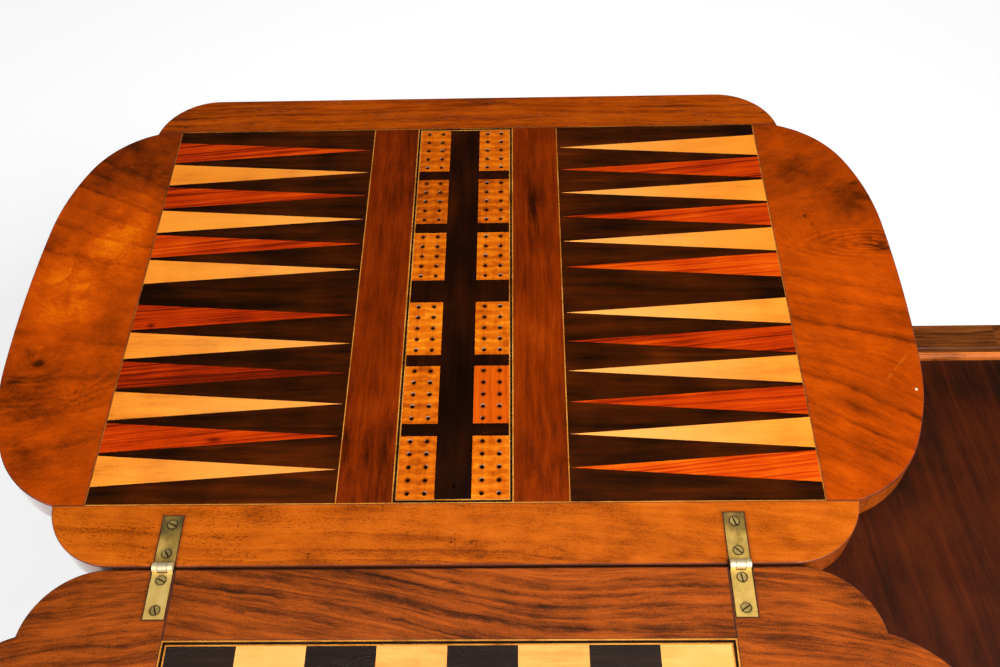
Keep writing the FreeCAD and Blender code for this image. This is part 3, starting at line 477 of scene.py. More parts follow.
use(wood("figured_walnut_right", panel_tones, bend=right_bend, warps=((5.0, 66, 34), (2.0, 24, 10), (0.9, 8, 5)),
         rings=((5.4, 1.4, 0.06, 1.4, 40),), streaks=((40, 9, 0.2), (16, 4.2, 0.15)), fibre=(5, 1.2, 0.2), pores=(2.4, 0.9, 0.62, 0.1),
         mottle=(24, 0.28), grit=0.2, bands=((180.0, 1.5, 0.2), (163.0, 1.8, 0.13), (145.0, 1.6, 0.08), (128.0, 1.6, 0.17), (113.0, 1.8, 0.08), (99.3, 1.6, 0.17), (78.6, 1.7, 0.19),
                                  (60.0, 2.0, 0.12), (222.0, 2.0, 0.08), (204.0, 1.6, 0.07)),
         knots=((LEAF_X + 276.0, 256.0, 34.0, 44.0, 19.0, 0.0, 1.0), (LEAF_X + 311.0, 252.0, 2.0, 9.0, 7.0, 0.2, 5.0),
                (LEAF_X + 258.5, 284.0, 1.0, 4.0, 4.0, 0.4, 1.1), (LEAF_X + 263.0, 275.5, 1.0, 4.0, 4.0, 0.4, 1.0)),
         seams=FIELD_SEAMS, arris=1.0, rim=0.8, extra=right_light, after=right_marks, depth=0.03), "upper_right_panel")

# ------------------------------------------------------------------ rear leaf: backgammon and cribbage
def point_cell(g):
    """A number triple for each point, from its place in the row and its side."""
    far = g.math("GREATER_THAN", g.y, 214.9)
    row = g.math("FLOOR", g.math("DIVIDE", g.sub(g.sub(g.y, g.mul(far, 17.4)), 55.0), 25.2))
    side = g.math("GREATER_THAN", g.x, LEAF_X)
    return g.white3(g.join(row, side, 3.7))


def block_cell(g):
    far = g.math("GREATER_THAN", g.y, 214.5)
    row = g.math("FLOOR", g.math("DIVIDE", g.sub(g.sub(g.y, g.mul(far, 11.0)), 40.7), 56.1))
    side = g.math("GREATER_THAN", g.x, LEAF_X)
    return g.white3(g.join(row, side, 8.1))


def peg_halo(g):
    """1 at the peg holes, falling to 0 about 1.5 mm outside them, the columns' scribed lines, and a painted glint on
    the far rim of some holes.
    """
    far = g.math("GREATER_THAN", g.y, 214.5)
    local = g.sub(g.sub(g.y, g.mul(far, 11.0)), 49.5)
    local = g.math("FLOORED_MODULO", local, 56.1)
    dy = g.mul(g.sub(g.math("FRACT", g.add(g.math("DIVIDE", local, 9.625), 0.5)), 0.5), 9.625)
    du = g.sub(g.math("ABSOLUTE", g.sub(g.math("ABSOLUTE", g.sub(g.x, LEAF_X)), 23.575)), 5.5)
    d = g.math("SQRT", g.add(g.mul(dy, dy), g.mul(du, du)))
    # Painted glint: a pale crescent just outside the far rim of some holes.
    glint_and_chip = g.mul(g.smooth(g.math("ABSOLUTE", g.sub(d, 1.62)), 0.4, 0.12), g.smooth(dy, 0.1, 0.8), g.smooth(g.noise(g.mm, (7, 7, 7), 1.0), 0.46, 0.6))
    return g.smooth(d, 3.0, 1.4), g.smooth(g.math("ABSOLUTE", du), 0.34, 0.1), glint_and_chip


def pit_dark(g, colour, s, r, t):
    """Dirt in and round the drilled holes, painted shade down inside them, and a painted glint on the far rim of some.
    """
    halo, scribed, glint_and_chip = peg_halo(g)
    worn = g.noise(g.mm, (2.2, 2.2, 2.2), 2.0)
    colour = g.mix(g.mul(scribed, worn, 0.5), colour, (0.12, 0.02, 0.001))
    colour = g.mix(g.mul(halo, g.add(0.2, g.mul(worn, 0.7))), colour, (0.11, 0.016, 0.001))
    # Painted glint on the far rim of some holes.
    colour = g.mix(g.mul(glint_and_chip, 0.7), colour, (0.62, 0.4, 0.26))
    # Painted shade: the hole walls below the surface are near black.
    return g.mix(g.mul(g.smooth(g.z, 734.95, 734.5), 0.9), colour, (0.012, 0.004, 0.001))


def square_cell(g):
    col = g.math("FLOOR", g.math("DIVIDE", g.sub(g.x, LEAF_X), 40.7))
    row = g.math("FLOOR", g.math("DIVIDE", g.add(g.y, 49.1), 40.7))
    return g.white3(g.join(col, row, 5.3))


def pale_tips(g, colour, s, r, t):
    """The points are paler and creamier towards their tips, more so on the right."""
    u = g.sub(g.x, LEAF_X)
    tip = g.mul(g.smooth(g.math("ABSOLUTE", u), 225.0, 110.0), g.lerp(g.smooth(u, -20.0, 20.0), 0.3, 0.62))
    far = g.mul(g.smooth(g.y, 130.0, 370.0), 0.4, g.smooth(g.math("ABSOLUTE", u), 90.0, 170.0))
    colour = g.mix(g.mul(tip, g.lerp(g.smooth(g.y, 180.0, 370.0), 1.0, 0.55)), colour, (0.92, 0.44, 0.105))
    return g.mix(far, colour, (0.74, 0.2, 0.008))


box_tones = ((0.0, (0.407, 0.0984, 0.0066)), (0.3, (0.737, 0.215, 0.0165)), (0.55, (0.844, 0.275, 0.0231)), (1.0, (0.902, 0.35, 0.0425)))
use(wood("boxwood_points", box_tones, cell=point_cell, warps=((1.5, 60, 14),), rings=((3.4, 1.4, 0.1, 1.0, 30),),
         streaks=((60, 7, 0.5), (22, 2.0, 0.2)), fibre=(9, 0.9, 0.2), pores=(2.2, 0.7, 0.64, 0.14), mottle=(26, 0.5),
         after=pale_tips, rough=0.36, depth=0.02), "light_points")


def first_dark(g, value, s, r, t):
    """The farthest points on the left are darker and browner; small knots in two others."""
    u = g.sub(g.x, LEAF_X)
    far = g.mul(g.smooth(g.y, 335.0, 352.0), g.smooth(u, 0.0, -10.0))
    right = g.mul(g.smooth(u, -10.0, 10.0), g.lerp(g.smooth(g.y, 100.0, 330.0), 0.03, 0.17))
    knot = g.math("MAXIMUM", g.bell(LEAF_X - 158.0, 90.5, 4.5, 1.8), g.bell(LEAF_X - 219.0, 186.0, 2.6, 2.0))
    return g.add(value, g.mul(far, -0.16), right, g.mul(g.smooth(u, 10.0, -10.0), g.bell(LEAF_X - 170.0, 120.0, 120.0, 60.0), -0.1), g.mul(knot, -0.4))


tulip_tones = ((0.0, (0.1, 0.006, 0.0001)), (0.22, (0.3, 0.016, 0.0002)), (0.48, (0.52, 0.04, 0.0003)), (0.75, (0.69, 0.1, 0.0015)), (1.0, (0.82, 0.2, 0.006)))
use(wood("tulipwood_points", tulip_tones, cell=point_cell, lean=5.5, warps=((1.6, 70, 16), (0.5, 24, 5)),
         rings=((2.9, 1.2, 0.36, 1.3, 0), (1.25, 1.1, 0.18, 1.0, 18)), streaks=((120, 4.0, 0.42), (60, 1.5, 0.36)),
         fibre=(24, 0.6, 0.22), pores=(4, 0.45, 0.62, 0.14), mottle=(40, 0.3), extra=first_dark, depth=0.02), "red_points")
rose_tones = ((0.0, (0.0077, 0.0019, 0.00021)), (0.3, (0.0206, 0.004, 0.00028)), (0.55, (0.037, 0.0064, 0.00035)), (0.8, (0.0636, 0.0099, 0.00049)), (1.0, (0.107, 0.0163, 0.0007)))
DARK = {"Specular_IOR_Level": 0.2, "Coat_Weight": 0.08, "Coat_Roughness": 0.06}


def ground_ends(g, value, s, r, t):
    """Blacker at the outer ends of the bands between the points."""
    u = g.math("ABSOLUTE", g.sub(g.x, LEAF_X))
    n = g.noise(g.mm, (26, 9, 12), 2.0)
    left = g.smooth(g.x, LEAF_X, LEAF_X - 10.0)
    mid = g.mul(left, g.bell(LEAF_X - 150.0, 214.0, 120.0, 90.0), -0.2)
    return g.add(value, g.mul(g.smooth(u, 196.0, 226.0), g.add(0.3, n), -0.36), mid, g.mul(left, g.smooth(g.y, 90.0, 50.0), 0.16))


use(wood("rosewood_ground", rose_tones, warps=((4.0, 120, 18), (1.0, 30, 6)), rings=((7.0, 1.4, 0.14, 1.6, 40),),
         streaks=((80, 8, 0.8), (30, 3.4, 0.36)), fibre=(12, 1.0, 0.18), pores=(4, 0.8, 0.62, 0.08), mottle=(44, 0.7), extra=ground_ends,
         depth=0.01, polish=DARK), "backgammon_ground")


def stained(g, value, s, r, t):
    """An old dark stain in the middle strip, rubbed marks on one cross-piece."""
    rub = g.mul(g.bell(LEAF_X + 23.0, 95.5, 8.0, 2.6), g.smooth(g.noise(g.mm, (1.6, 1.2, 1.4), 2.0), 0.5, 0.6))
    return g.add(value, g.mul(g.bell(LEAF_X + 2.0, 130.0, 16.0, 34.0), -0.3), g.mul(g.smooth(g.y, 190.0, 80.0), -0.12), g.mul(rub, 0.7))


crib_tones = ((0.0, (0.005, 0.0012, 0.0002)), (0.35, (0.0105, 0.0022, 0.0002)), (0.6, (0.02, 0.0036, 0.0002)), (0.85, (0.038, 0.0062, 0.0003)), (1.0, (0.07, 0.011, 0.0005)))
use(wood("rosewood_cribbage", crib_tones, axis="y", warps=((2.0, 90, 12),), rings=((5.0, 1.4, 0.16, 1.4, 30),),
         streaks=((50, 8, 0.5), (24, 3.4, 0.2)), fibre=(10, 1.2, 0.14), pores=(4, 0.7, 0.62, 0.06), mottle=(40, 0.5),
         extra=stained, depth=0.01, polish=DARK), "cribbage_ground")


def divider_shade(g, value, s, r, t):
    """Brown smudges near the hinge end, streaks in the right strip."""
    near = g.mul(g.smooth(g.y, 150.0, 60.0), g.smooth(g.noise(g.mm, (6, 26, 12), 3.0, 0.6), 0.42, 0.62))
    streak = g.mul(g.bell(LEAF_X + 54.0, 310.0, 9.0, 60.0), g.smooth(g.noise(g.mm, (4, 30, 12), 3.0, 0.6), 0.42, 0.6))
    left = g.mul(g.bell(LEAF_X - 56.0, 330.0, 16.0, 60.0), 0.08)
    right = g.mul(g.bell(LEAF_X + 56.0, 110.0, 16.0, 90.0), 0.1)
    return g.add(value, g.mul(near, -0.2), g.mul(streak, -0.22), g.mul(left, -0.9), right, g.mul(g.smooth(g.x, LEAF_X, LEAF_X + 10.0), 0.06))


divider_tones = ((0.0, (0.0258, 0.0036, 0.0001)), (0.25, (0.0824, 0.0088, 0.00014)), (0.5, (0.154, 0.0155, 0.0002)), (0.8, (0.24, 0.0265, 0.0004)), (1.0, (0.33, 0.043, 0.0008)))
use(wood("divider_walnut", divider_tones, axis="y", warps=((3.5, 110, 18), (0.8, 26, 6)), rings=((5.4, 1.6, 0.18, 1.6, 44),),
         streaks=((80, 6, 0.6), (26, 2.4, 0.3)), fibre=(12, 0.9, 0.26), pores=(3.0, 0.7, 0.6, 0.16), mottle=(34, 0.42), extra=divider_shade,
         knots=((LEAF_X - 45.0, 86.0, 2.0, 3.5, 24.0, 0.2, 2.0), (LEAF_X + 54.0, 301.0, 3.0, 4.0, 13.0, 0.25, 3.0)), depth=0.02, polish=DARK), "divider_strips")


def ripple(g, value, s, r, t):
    """Wavy cross ripple of the satinwood; the far blocks are darker."""
    w = g.add(g.math("DIVIDE", g.y, 1.15), g.mul(g.noise(g.mm, (8, 5, 5), 2.0), 9.0))
    far = g.smooth(g.y, 270.0, 380.0)
    return g.add(value, g.mul(g.math("POWER", g.add(0.5, g.mul(g.math("SINE", w), 0.5)), 2.0), 0.26), g.mul(g.sub(g.noise(g.mm, (11, 2.8, 4), 2.0), 0.5), 0.44), g.mul(far, -0.14), -0.08)


satin_tones = ((0.0, (0.122, 0.0156, 0.00022)), (0.25, (0.372, 0.0602, 0.00072)), (0.5, (0.568, 0.108, 0.0014)), (0.8, (0.725, 0.182, 0.004)), (1.0, (0.882, 0.317, 0.016)))
use(wood("satinwood", satin_tones, axis="y", cell=block_cell, warps=((1.5, 40, 10),), streaks=((50, 4, 0.3),), fibre=(12, 0.8, 0.16),
         pores=(2.4, 0.6, 0.64, 0.12), mottle=(16, 0.4), extra=ripple, after=pit_dark, depth=0.02), "cribbage_blocks")
repair_tones = ((0.0, (0.098, 0.0093, 0.0003)), (0.25, (0.314, 0.0418, 0.0006)), (0.5, (0.549, 0.0725, 0.0009)), (0.8, (0.686, 0.112, 0.0015)), (1.0, (0.784, 0.158, 0.003)))
use(wood("satinwood_repair", repair_tones, axis="y", warps=((1.2, 40, 8),), rings=((2.6, 1.6, 0.2, 1.2, 20),), streaks=((80, 2.4, 0.46),),
         fibre=(18, 0.6, 0.24), mottle=(24, 0.24), after=pit_dark, depth=0.02), "cribbage_block_replaced")


def line_age(g, value, s, r, t):
    """The outer line on the left is browned, and all of them are worn in places."""
    u = g.sub(g.x, LEAF_X)
    left = g.smooth(u, -231.0, -232.2)
    right = g.smooth(u, 231.0, 232.2)
    far = g.smooth(g.y, 384.0, 386.0)
    worn = g.smooth(g.noise(g.mm, (14, 14, 14), 3.0, 0.6), 0.48, 0.66)
    return g.add(value, g.mul(left, -0.36), g.mul(right, -0.2), g.mul(far, -0.3), g.mul(worn, -0.22))


line_tones = ((0.0, (0.16, 0.036, 0.003)), (0.3, (0.4, 0.13, 0.013)), (0.6, (0.62, 0.25, 0.036)), (1.0, (0.8, 0.4, 0.085)))
use(wood("boxwood_lines", line_tones, warps=((1.0, 60, 20),), streaks=((60, 20, 0.4),), fibre=(9, 3, 0.3), mottle=(30, 0.4), extra=line_age, depth=0.02),
    "field_stringing", "cribbage_lines_light", "chess_lines_light")
black_tones = ((0.0, (0.004, 0.0018, 0.0006)), (0.5, (0.0115, 0.0045, 0.0012)), (1.0, (0.036, 0.014, 0.004)))
use(wood("black_lines", black_tones, warps=((1.0, 60, 20),), streaks=((60, 10, 0.5),), fibre=(9, 2, 0.3), mottle=(30, 0.4), depth=0.01, polish=DARK),
    "cribbage_lines_dark", "chess_line_dark")

# ------------------------------------------------------------------ front leaf
red_tones = ((0.0, (0.0323, 0.0084, 0.0016)), (0.22, (0.116, 0.0219, 0.0026)), (0.48, (0.277, 0.0502, 0.0042)), (0.75, (0.427, 0.0815, 0.0063)), (1.0, (0.554, 0.12, 0.0115)))


def front_bend(g, s, r, t):
    """Long S curves that fall to the right on the left half and flatten on the right."""
    u = g.sub(g.x, LEAF_X)
    fall = g.mul(g.smooth(u, -205.0, 85.0), 40.0)
    return g.add(r, fall, g.mul(u, 0.02), g.mul(g.math("SINE", g.math("DIVIDE", u, 34.0)), 1.4))


def bloom(g, value, s, r, t):
    """A duller patch by the left end, a soft eye in the middle, dirt along the hinge edge."""
    eye = g.math("ABSOLUTE", g.sub(g.math("SQRT", g.add(g.math("POWER", g.math("DIVIDE", g.sub(g.x, LEAF_X + 2.0), 2.1), 2.0),
                                                          g.math("POWER", g.add(g.y, 12.6), 2.0))), 2.3))
    eye = g.mul(g.smooth(eye, 1.6, 0.2), g.smooth(g.noise(g.mm, (4, 3, 4), 2.0), 0.34, 0.6))
    soil = g.smooth(g.y, -2.6, -0.6)
    return g.add(value, g.mul(g.bell(LEAF_X - 118.0, -38.0, 46.0, 12.0), -0.06), g.mul(eye, -0.16), g.mul(soil, -0.34))


LOWER_SEAMS = (("x", LEAF_X - 166.3, 0.5, 0.75), ("x", LEAF_X + 166.3, 0.5, 0.75))
use(wood("red_walnut_hinge", red_tones, bend=front_bend, warps=((3.4, 90, 18), (1.3, 30, 7), (0.5, 9, 3)),
         rings=((8.6, 1.4, 0.2, 1.8, 60), (3.3, 1.3, 0.1, 1.4, 36)), streaks=((70, 4.4, 0.5), (30, 2.2, 0.24)),
         fibre=(9, 0.85, 0.3), pores=(2.6, 0.75, 0.61, 0.11), mottle=(40, 0.28), grit=0.24,
         bands=((2.0, 1.5, 0.2), (22.0, 1.0, 0.16), (28.0, 1.2, 0.15), (-9.5, 0.8, 0.2), (15.0, 1.5, 0.17), (-20.5, 0.9, 0.15), (-13.5, 0.8, 0.1),
                (9.0, 1.0, 0.11)), seams=LOWER_SEAMS, plates=PLATES_LOW, arris=0.9, rim=0.8,
         extra=bloom, depth=0.04), "lower_hinge_border", "lower_front_border")


def side_bend(g, s, r, t):
    u = g.math("ABSOLUTE", g.sub(g.x, LEAF_X))
    return g.add(r, g.mul(g.sub(u, 166.0), 0.15), g.mul(g.math("SINE", g.math("DIVIDE", u, 21.0)), 1.8))


def side_shade(g, value, s, r, t):
    """Browner towards the hinge on the left, a dark smudge by the edge on the right."""
    left = g.add(g.mul(g.bell(LEAF_X - 236.0, -10.0, 40.0, 9.0), 0.16), g.mul(g.smooth(g.x, LEAF_X, LEAF_X - 10.0), 0.09))
    right = g.mul(g.bell(LEAF_X + 252.0, -17.0, 26.0, 8.0), g.smooth(g.noise(g.mm, (22, 5, 8), 3.0, 0.6), 0.4, 0.6), 0.34)
    soil = g.mul(g.smooth(g.y, -2.6, -0.6), 0.34)
    return g.sub(value, g.add(left, right, soil))


use(wood("red_walnut_sides", red_tones, bend=side_bend, warps=((5.0, 70, 24), (1.6, 24, 8), (0.6, 9, 3)),
         rings=((10.0, 1.4, 0.18, 1.8, 60), (4.0, 1.4, 0.12, 1.4, 36)), streaks=((60, 5, 0.52), (26, 2.3, 0.28)),
         fibre=(9, 0.85, 0.34), pores=(2.6, 0.75, 0.61, 0.13), mottle=(36, 0.36), grit=0.24, seams=LOWER_SEAMS, plates=PLATES_LOW, arris=0.9, rim=0.8,
         extra=side_shade, depth=0.04), "lower_left_panel", "lower_right_panel")
ebon_tones = ((0.0, (0.0066, 0.003, 0.0017)), (0.4, (0.0132, 0.0063, 0.0036)), (0.7, (0.0198, 0.0089, 0.005)), (1.0, (0.0385, 0.0178, 0.0099)))
use(wood("ebonised_squares", ebon_tones, cell=square_cell, warps=((1.5, 60, 14),), streaks=((80, 3, 0.6),), fibre=(18, 0.6, 0.36),
         pores=(4, 0.5, 0.62, 0.2), mottle=(30, 0.3), rough=0.4), "dark_squares")
chess_tones = ((0.0, (0.5, 0.166, 0.032)), (0.3, (0.78, 0.299, 0.06)), (0.55, (0.87, 0.373, 0.084)), (1.0, (0.93, 0.457, 0.128)))
use(wood("boxwood_squares", chess_tones, cell=square_cell, warps=((1.5, 60, 14),), rings=((4, 1.6, 0.1, 1.0, 30),),
         streaks=((50, 6, 0.44), (18, 2.0, 0.3)), fibre=(9, 0.8, 0.22), pores=(2.4, 0.7, 0.63, 0.16), mottle=(16, 0.4),
         rough=0.36, depth=0.03), "light_squares")

# ------------------------------------------------------------------ leaf edges and undersides
edge_tones = ((0.0, (0.06, 0.01, 0.0008)), (0.25, (0.22, 0.036, 0.0016)), (0.5, (0.4, 0.07, 0.003)), (0.8, (0.54, 0.1, 0.005)), (1.0, (0.66, 0.15, 0.01)))


def hole_dark(g, colour, s, r, t):
    """The bottoms of the peg holes are painted black as shade; the edge is painted darker and browner where the leaves
    meet, as painted shade in the gap and dirt.
    """
    inside = g.mul(g.smooth(g.z, 726.0, 727.0), g.smooth(g.y, 43.5, 44.0), g.smooth(g.y, 387.0, 386.0),
                   g.smooth(g.math("ABSOLUTE", g.sub(g.x, LEAF_X)), 40.0, 39.0))
    # Painted shade: the peg hole bottoms are near black.
    colour = g.mix(g.mul(inside, 0.92), colour, (0.01, 0.004, 0.001))
    colour = g.mix(g.mul(lacquer(g), 0.75), colour, (0.1, 0.035, 0.014))
    # Painted shade and dirt: the edge faces in the gap between the leaves are near black.
    return g.mix(g.mul(g.smooth(g.y, 2.5, 0.9), 0.85), colour, (0.012, 0.005, 0.002))


def lacquer(g):
    """Thicker, glassier polish on the edge at the left end by the hinges."""
    return g.mul(g.smooth(g.sub(g.x, LEAF_X), -196.0, -236.0), g.smooth(g.y, 150.0, 96.0), g.smooth(g.z, 712.0, 713.2))


use(wood("leaf_edge_upper", edge_tones, warps=((3.0, 80, 20),), rings=((3.2, 1.8, 0.3, 1.4, 40),), streaks=((120, 3, 0.5),),
         fibre=(26, 0.7, 0.3), pores=(5, 0.6, 0.62, 0.2), mottle=(60, 0.3), after=hole_dark, coat=lacquer, rough=0.2, depth=0.02, polish=GLOSS), "upper_leaf_core")
under_tones = ((0.0, (0.04, 0.012, 0.004)), (0.25, (0.12, 0.03, 0.007)), (0.5, (0.22, 0.055, 0.011)), (0.8, (0.31, 0.085, 0.018)), (1.0, (0.4, 0.13, 0.035)))
use(wood("leaf_edge_lower", under_tones, warps=((3.0, 80, 20),), rings=((4.2, 1.8, 0.3, 1.4, 40),), streaks=((120, 4, 0.5),),
         fibre=(26, 0.7, 0.3), pores=(5, 0.6, 0.62, 0.22), mottle=(60, 0.3)), "lower_leaf_core")


def burr(name):
    """Quarter-matched burr walnut: swirls and clustered eyes, mirrored about both middle lines."""
    g = Graph(name)
    u = g.math("ABSOLUTE", g.sub(g.x, LEAF_X))
    v = g.math("ABSOLUTE", g.sub(g.y, 212.4))
    p = g.join(u, v, g.z)
    w1 = g.noise(p, (80, 64, 60), 3.0, 0.55, colour=True)
    w2 = g.noise(p, (24, 20, 20), 2.0, 0.5, colour=True)
    a0, a1, a2 = g.split(w1)
    b0, b1, b2 = g.split(w2)
    wu = g.add(u, g.mul(g.sub(a0, 0.5), 90.0), g.mul(g.sub(b0, 0.5), 20.0))
    wv = g.add(v, g.mul(g.sub(a1, 0.5), 90.0), g.mul(g.sub(b1, 0.5), 20.0))
    q = g.join(wu, wv, g.z)
    eyes = g.cells(q, (19, 17, 60))
    ring = g.math("FRACT", g.add(g.mul(eyes, 4.2), g.mul(b2, 1.2)))
    line = g.mul(g.math("POWER", ring, 2.0), g.smooth(ring, 1.0, 0.88))
    flow = g.noise(q, (70, 8, 30), 3.0, 0.6)
    fine = g.noise(q, (9, 1.4, 9), 3.0, 0.6)
    cluster = g.smooth(a2, 0.42, 0.6)
    pip = g.mul(g.smooth(eyes, 0.16, 0.06), cluster)
    value = g.add(0.52, g.mul(g.sub(flow, 0.5), 0.9), g.mul(g.sub(fine, 0.5), 0.3), g.mul(line, cluster, -0.26), g.mul(pip, -0.4),
                  g.mul(g.sub(b1, 0.5), 0.5))
    tones = ((0.0, (0.018, 0.006, 0.0018)), (0.25, (0.075, 0.018, 0.0036)), (0.5, (0.18, 0.045, 0.007)), (0.78, (0.3, 0.085, 0.013)), (1.0, (0.43, 0.15, 0.028)))
    colour = g.ramp(value, tones)
    for d in (u, v):
        colour = g.mix(g.mul(g.smooth(d, 0.5, 0.15), 0.7), colour, (0.02, 0.008, 0.003))
    rough = g.add(0.24, g.mul(fine, 0.08))
    return g.finish(colour, rough, fine, 0.03, **POLISH)


use(burr("burr_walnut"), "upper_show_veneer")


# ------------------------------------------------------------------ metals
def brass(name, dark, mid, bright, stain=0.5, rough=0.52, tone=None):
    """Old lacquered brass: brushed along the plate, stained and rubbed, with a painted highlight on the knuckles and
    painted shade in the slots and sinkings.
    """
    g = Graph(name)
    brush = g.noise(g.mm, (0.5, 26, 6), 3.0, 0.65)
    cloud = g.noise(g.mm, (9, 13, 9), 4.0, 0.62)
    spot = g.noise(g.mm, (1.6, 1.9, 1.6), 2.0, 0.5)
    scratch = g.smooth(g.noise(g.join(g.add(g.x, g.mul(g.y, 0.6)), g.sub(g.y, g.mul(g.x, 0.3)), g.z), (0.25, 14, 4), 1.0), 0.68, 0.73)
    value = g.add(0.5, g.mul(g.sub(cloud, 0.5), stain * 1.6), g.mul(g.sub(brush, 0.5), 0.35), g.mul(scratch, 0.2),
                  g.mul(g.smooth(spot, 0.66, 0.74), -0.3))
    if tone is not None:
        value = g.add(value, tone(g))
    colour = g.ramp(value, ((0.0, dark), (0.55, mid), (1.0, bright)))
    # Painted highlight: the knuckles, above the plate, are mixed towards pale brass.
    colour = g.mix(g.mul(g.smooth(g.z, 735.5, 737.0), 0.75), colour, (0.86, 0.72, 0.46))
    across = g.sub(g.math("ABSOLUTE", g.sub(g.x, LEAF_X)), 174.0)
    near = None
    for y0 in (29.2, 9.6, -7.9, -27.0):
        d = g.math("SQRT", g.add(g.mul(across, across), g.math("POWER", g.sub(g.y, y0), 2.0)))
        near = d if near is None else g.math("MINIMUM", near, d)
    ring = g.smooth(g.math("ABSOLUTE", g.sub(near, 3.1)), 0.62, 0.22)
    ring = g.math("MAXIMUM", g.mul(ring, 0.85), g.mul(g.smooth(near, 5.0, 3.0), g.smooth(near, 2.4, 3.0), 0.2))
    colour = g.mix(g.mul(ring, g.add(0.5, g.mul(spot, 0.9))), colour, (0.035, 0.02, 0.006))
    # Painted shade: the slot floors and sinkings are near black.
    colour = g.mix(g.mul(g.smooth(g.z, 734.93, 734.6), 0.97), colour, (0.012, 0.008, 0.003))
    roughness = g.add(rough - 0.1, g.mul(cloud, 0.2), g.mul(brush, 0.06))
    return g.finish(colour, roughness, g.add(brush, g.mul(scratch, -0.6)), 0.012, Metallic=0.75)


def upper_tone(g):
    """Gold in the middle of the plate, dull towards its far end and by the knuckle."""
    return g.add(g.mul(g.smooth(g.math("ABSOLUTE", g.sub(g.y, 13.0)), 11.0, 3.0), 0.28), g.mul(g.smooth(g.y, 19.0, 28.0), -0.3),
                 g.mul(g.smooth(g.y, 6.0, 3.0), -0.1))


use(brass("brass_upper", (0.11, 0.085, 0.03), (0.47, 0.28, 0.055), (0.84, 0.54, 0.13), 0.9, tone=upper_tone), "hinge_plates_upper")
def lower_tone(g):
    """The left hinge is brighter."""
    return g.mul(g.smooth(g.x, LEAF_X, LEAF_X - 10.0), 0.16)


use(brass("brass_lower", (0.4, 0.25, 0.05), (0.84, 0.53, 0.125), (0.92, 0.7, 0.25), 0.6, tone=lower_tone), "hinge_plates_lower", "hinge_pins")
use(brass("brass_screws", (0.14, 0.09, 0.024), (0.48, 0.32, 0.09), (0.8, 0.58, 0.22), 0.8), "hinge_screws_upper", "hinge_screws_lower")


def iron(name):
    g = Graph(name)
    cloud = g.noise(g.mm, (7, 7, 7), 4.0, 0.65)
    grit = g.noise(g.mm, (1.1, 1.1, 1.1), 3.0, 0.6)
    rust = g.smooth(g.add(cloud, g.mul(grit, 0.2)), 0.58, 0.72)
    colour = g.mix(rust, g.ramp(grit, ((0.2, (0.07, 0.065, 0.062)), (0.8, (0.19, 0.18, 0.175)))), (0.11, 0.045, 0.02))
    g.put(g.bsdf.inputs["Metallic"], g.lerp(rust, 0.9, 0.25))
    return g.finish(colour, g.lerp(rust, 0.42, 0.8), g.add(cloud, grit), 0.08)


use(iron("wrought_iron"), "pivot_bolt", "pivot_flange_screws", "pivot_washer", "pivot_nut", "bearer_screws")

# ------------------------------------------------------------------ frame and base
frame_tones = ((0.0, (0.0189, 0.0061, 0.0014)), (0.25, (0.0601, 0.0157, 0.0029)), (0.5, (0.129, 0.0332, 0.0057)), (0.78, (0.197, 0.0559, 0.0108)), (1.0, (0.283, 0.0917, 0.0215)))
use(wood("frame_walnut_long", frame_tones, warps=((4.0, 80, 20), (1.4, 26, 7)), rings=((6.5, 2.0, 0.4, 1.6, 50),),
         streaks=((110, 5, 0.8), (44, 2.2, 0.5)), fibre=(18, 0.9, 0.4), pores=(5, 0.55, 0.6, 0.24), mottle=(34, 0.44), arris=0.4),
    "front_rail", "back_rail")
use(wood("frame_walnut_ends", frame_tones, axis="y", warps=((4.0, 100, 20), (1.2, 30, 7)), rings=((6.5, 2.0, 0.4, 1.6, 50),),
         streaks=((160, 5, 0.55), (70, 2.2, 0.3)), fibre=(28, 0.8, 0.32), pores=(5, 0.55, 0.6, 0.24), mottle=(70, 0.28), arris=0.4),
    "left_end_rail", "right_end_rail")
use(wood("frame_walnut_corners", frame_tones, lean=14.0, warps=((5.0, 90, 22), (1.4, 28, 7)), rings=((7.0, 2.0, 0.4, 1.6, 50),),
         streaks=((150, 5, 0.55), (60, 2.2, 0.3)), fibre=(28, 0.8, 0.32), pores=(5, 0.55, 0.6, 0.24), mottle=(60, 0.3), arris=0.4),
    "corner_blocks", "frieze_bead")
rim_tones = ((0.0, (0.06, 0.013, 0.002)), (0.25, (0.2, 0.046, 0.006)), (0.5, (0.42, 0.1, 0.014)), (0.8, (0.62, 0.17, 0.028)), (1.0, (0.76, 0.27, 0.06)))
use(wood("rim_moulding", rim_tones, warps=((2.0, 90, 14),), rings=((3.0, 1.8, 0.25, 1.4, 40),), streaks=((140, 3, 0.5),), fibre=(24, 0.7, 0.3),
         pores=(4, 0.8, 0.6, 0.2), mottle=(30, 0.4), rough=0.42, polish={"Specular_IOR_Level": 0.1}), "well_moulding")
well_tones = ((0.0, (0.0076, 0.0017, 0.00018)), (0.25, (0.0228, 0.0039, 0.0003)), (0.5, (0.0437, 0.0066, 0.00048)), (0.78, (0.0684, 0.0106, 0.00072)), (1.0, (0.103, 0.0166, 0.0012)))
def well_shade(g, value, s, r, t):
    """Painted shade: darker towards the back."""
    return g.add(value, g.mul(g.smooth(g.y, 20.0, 190.0), -0.16))


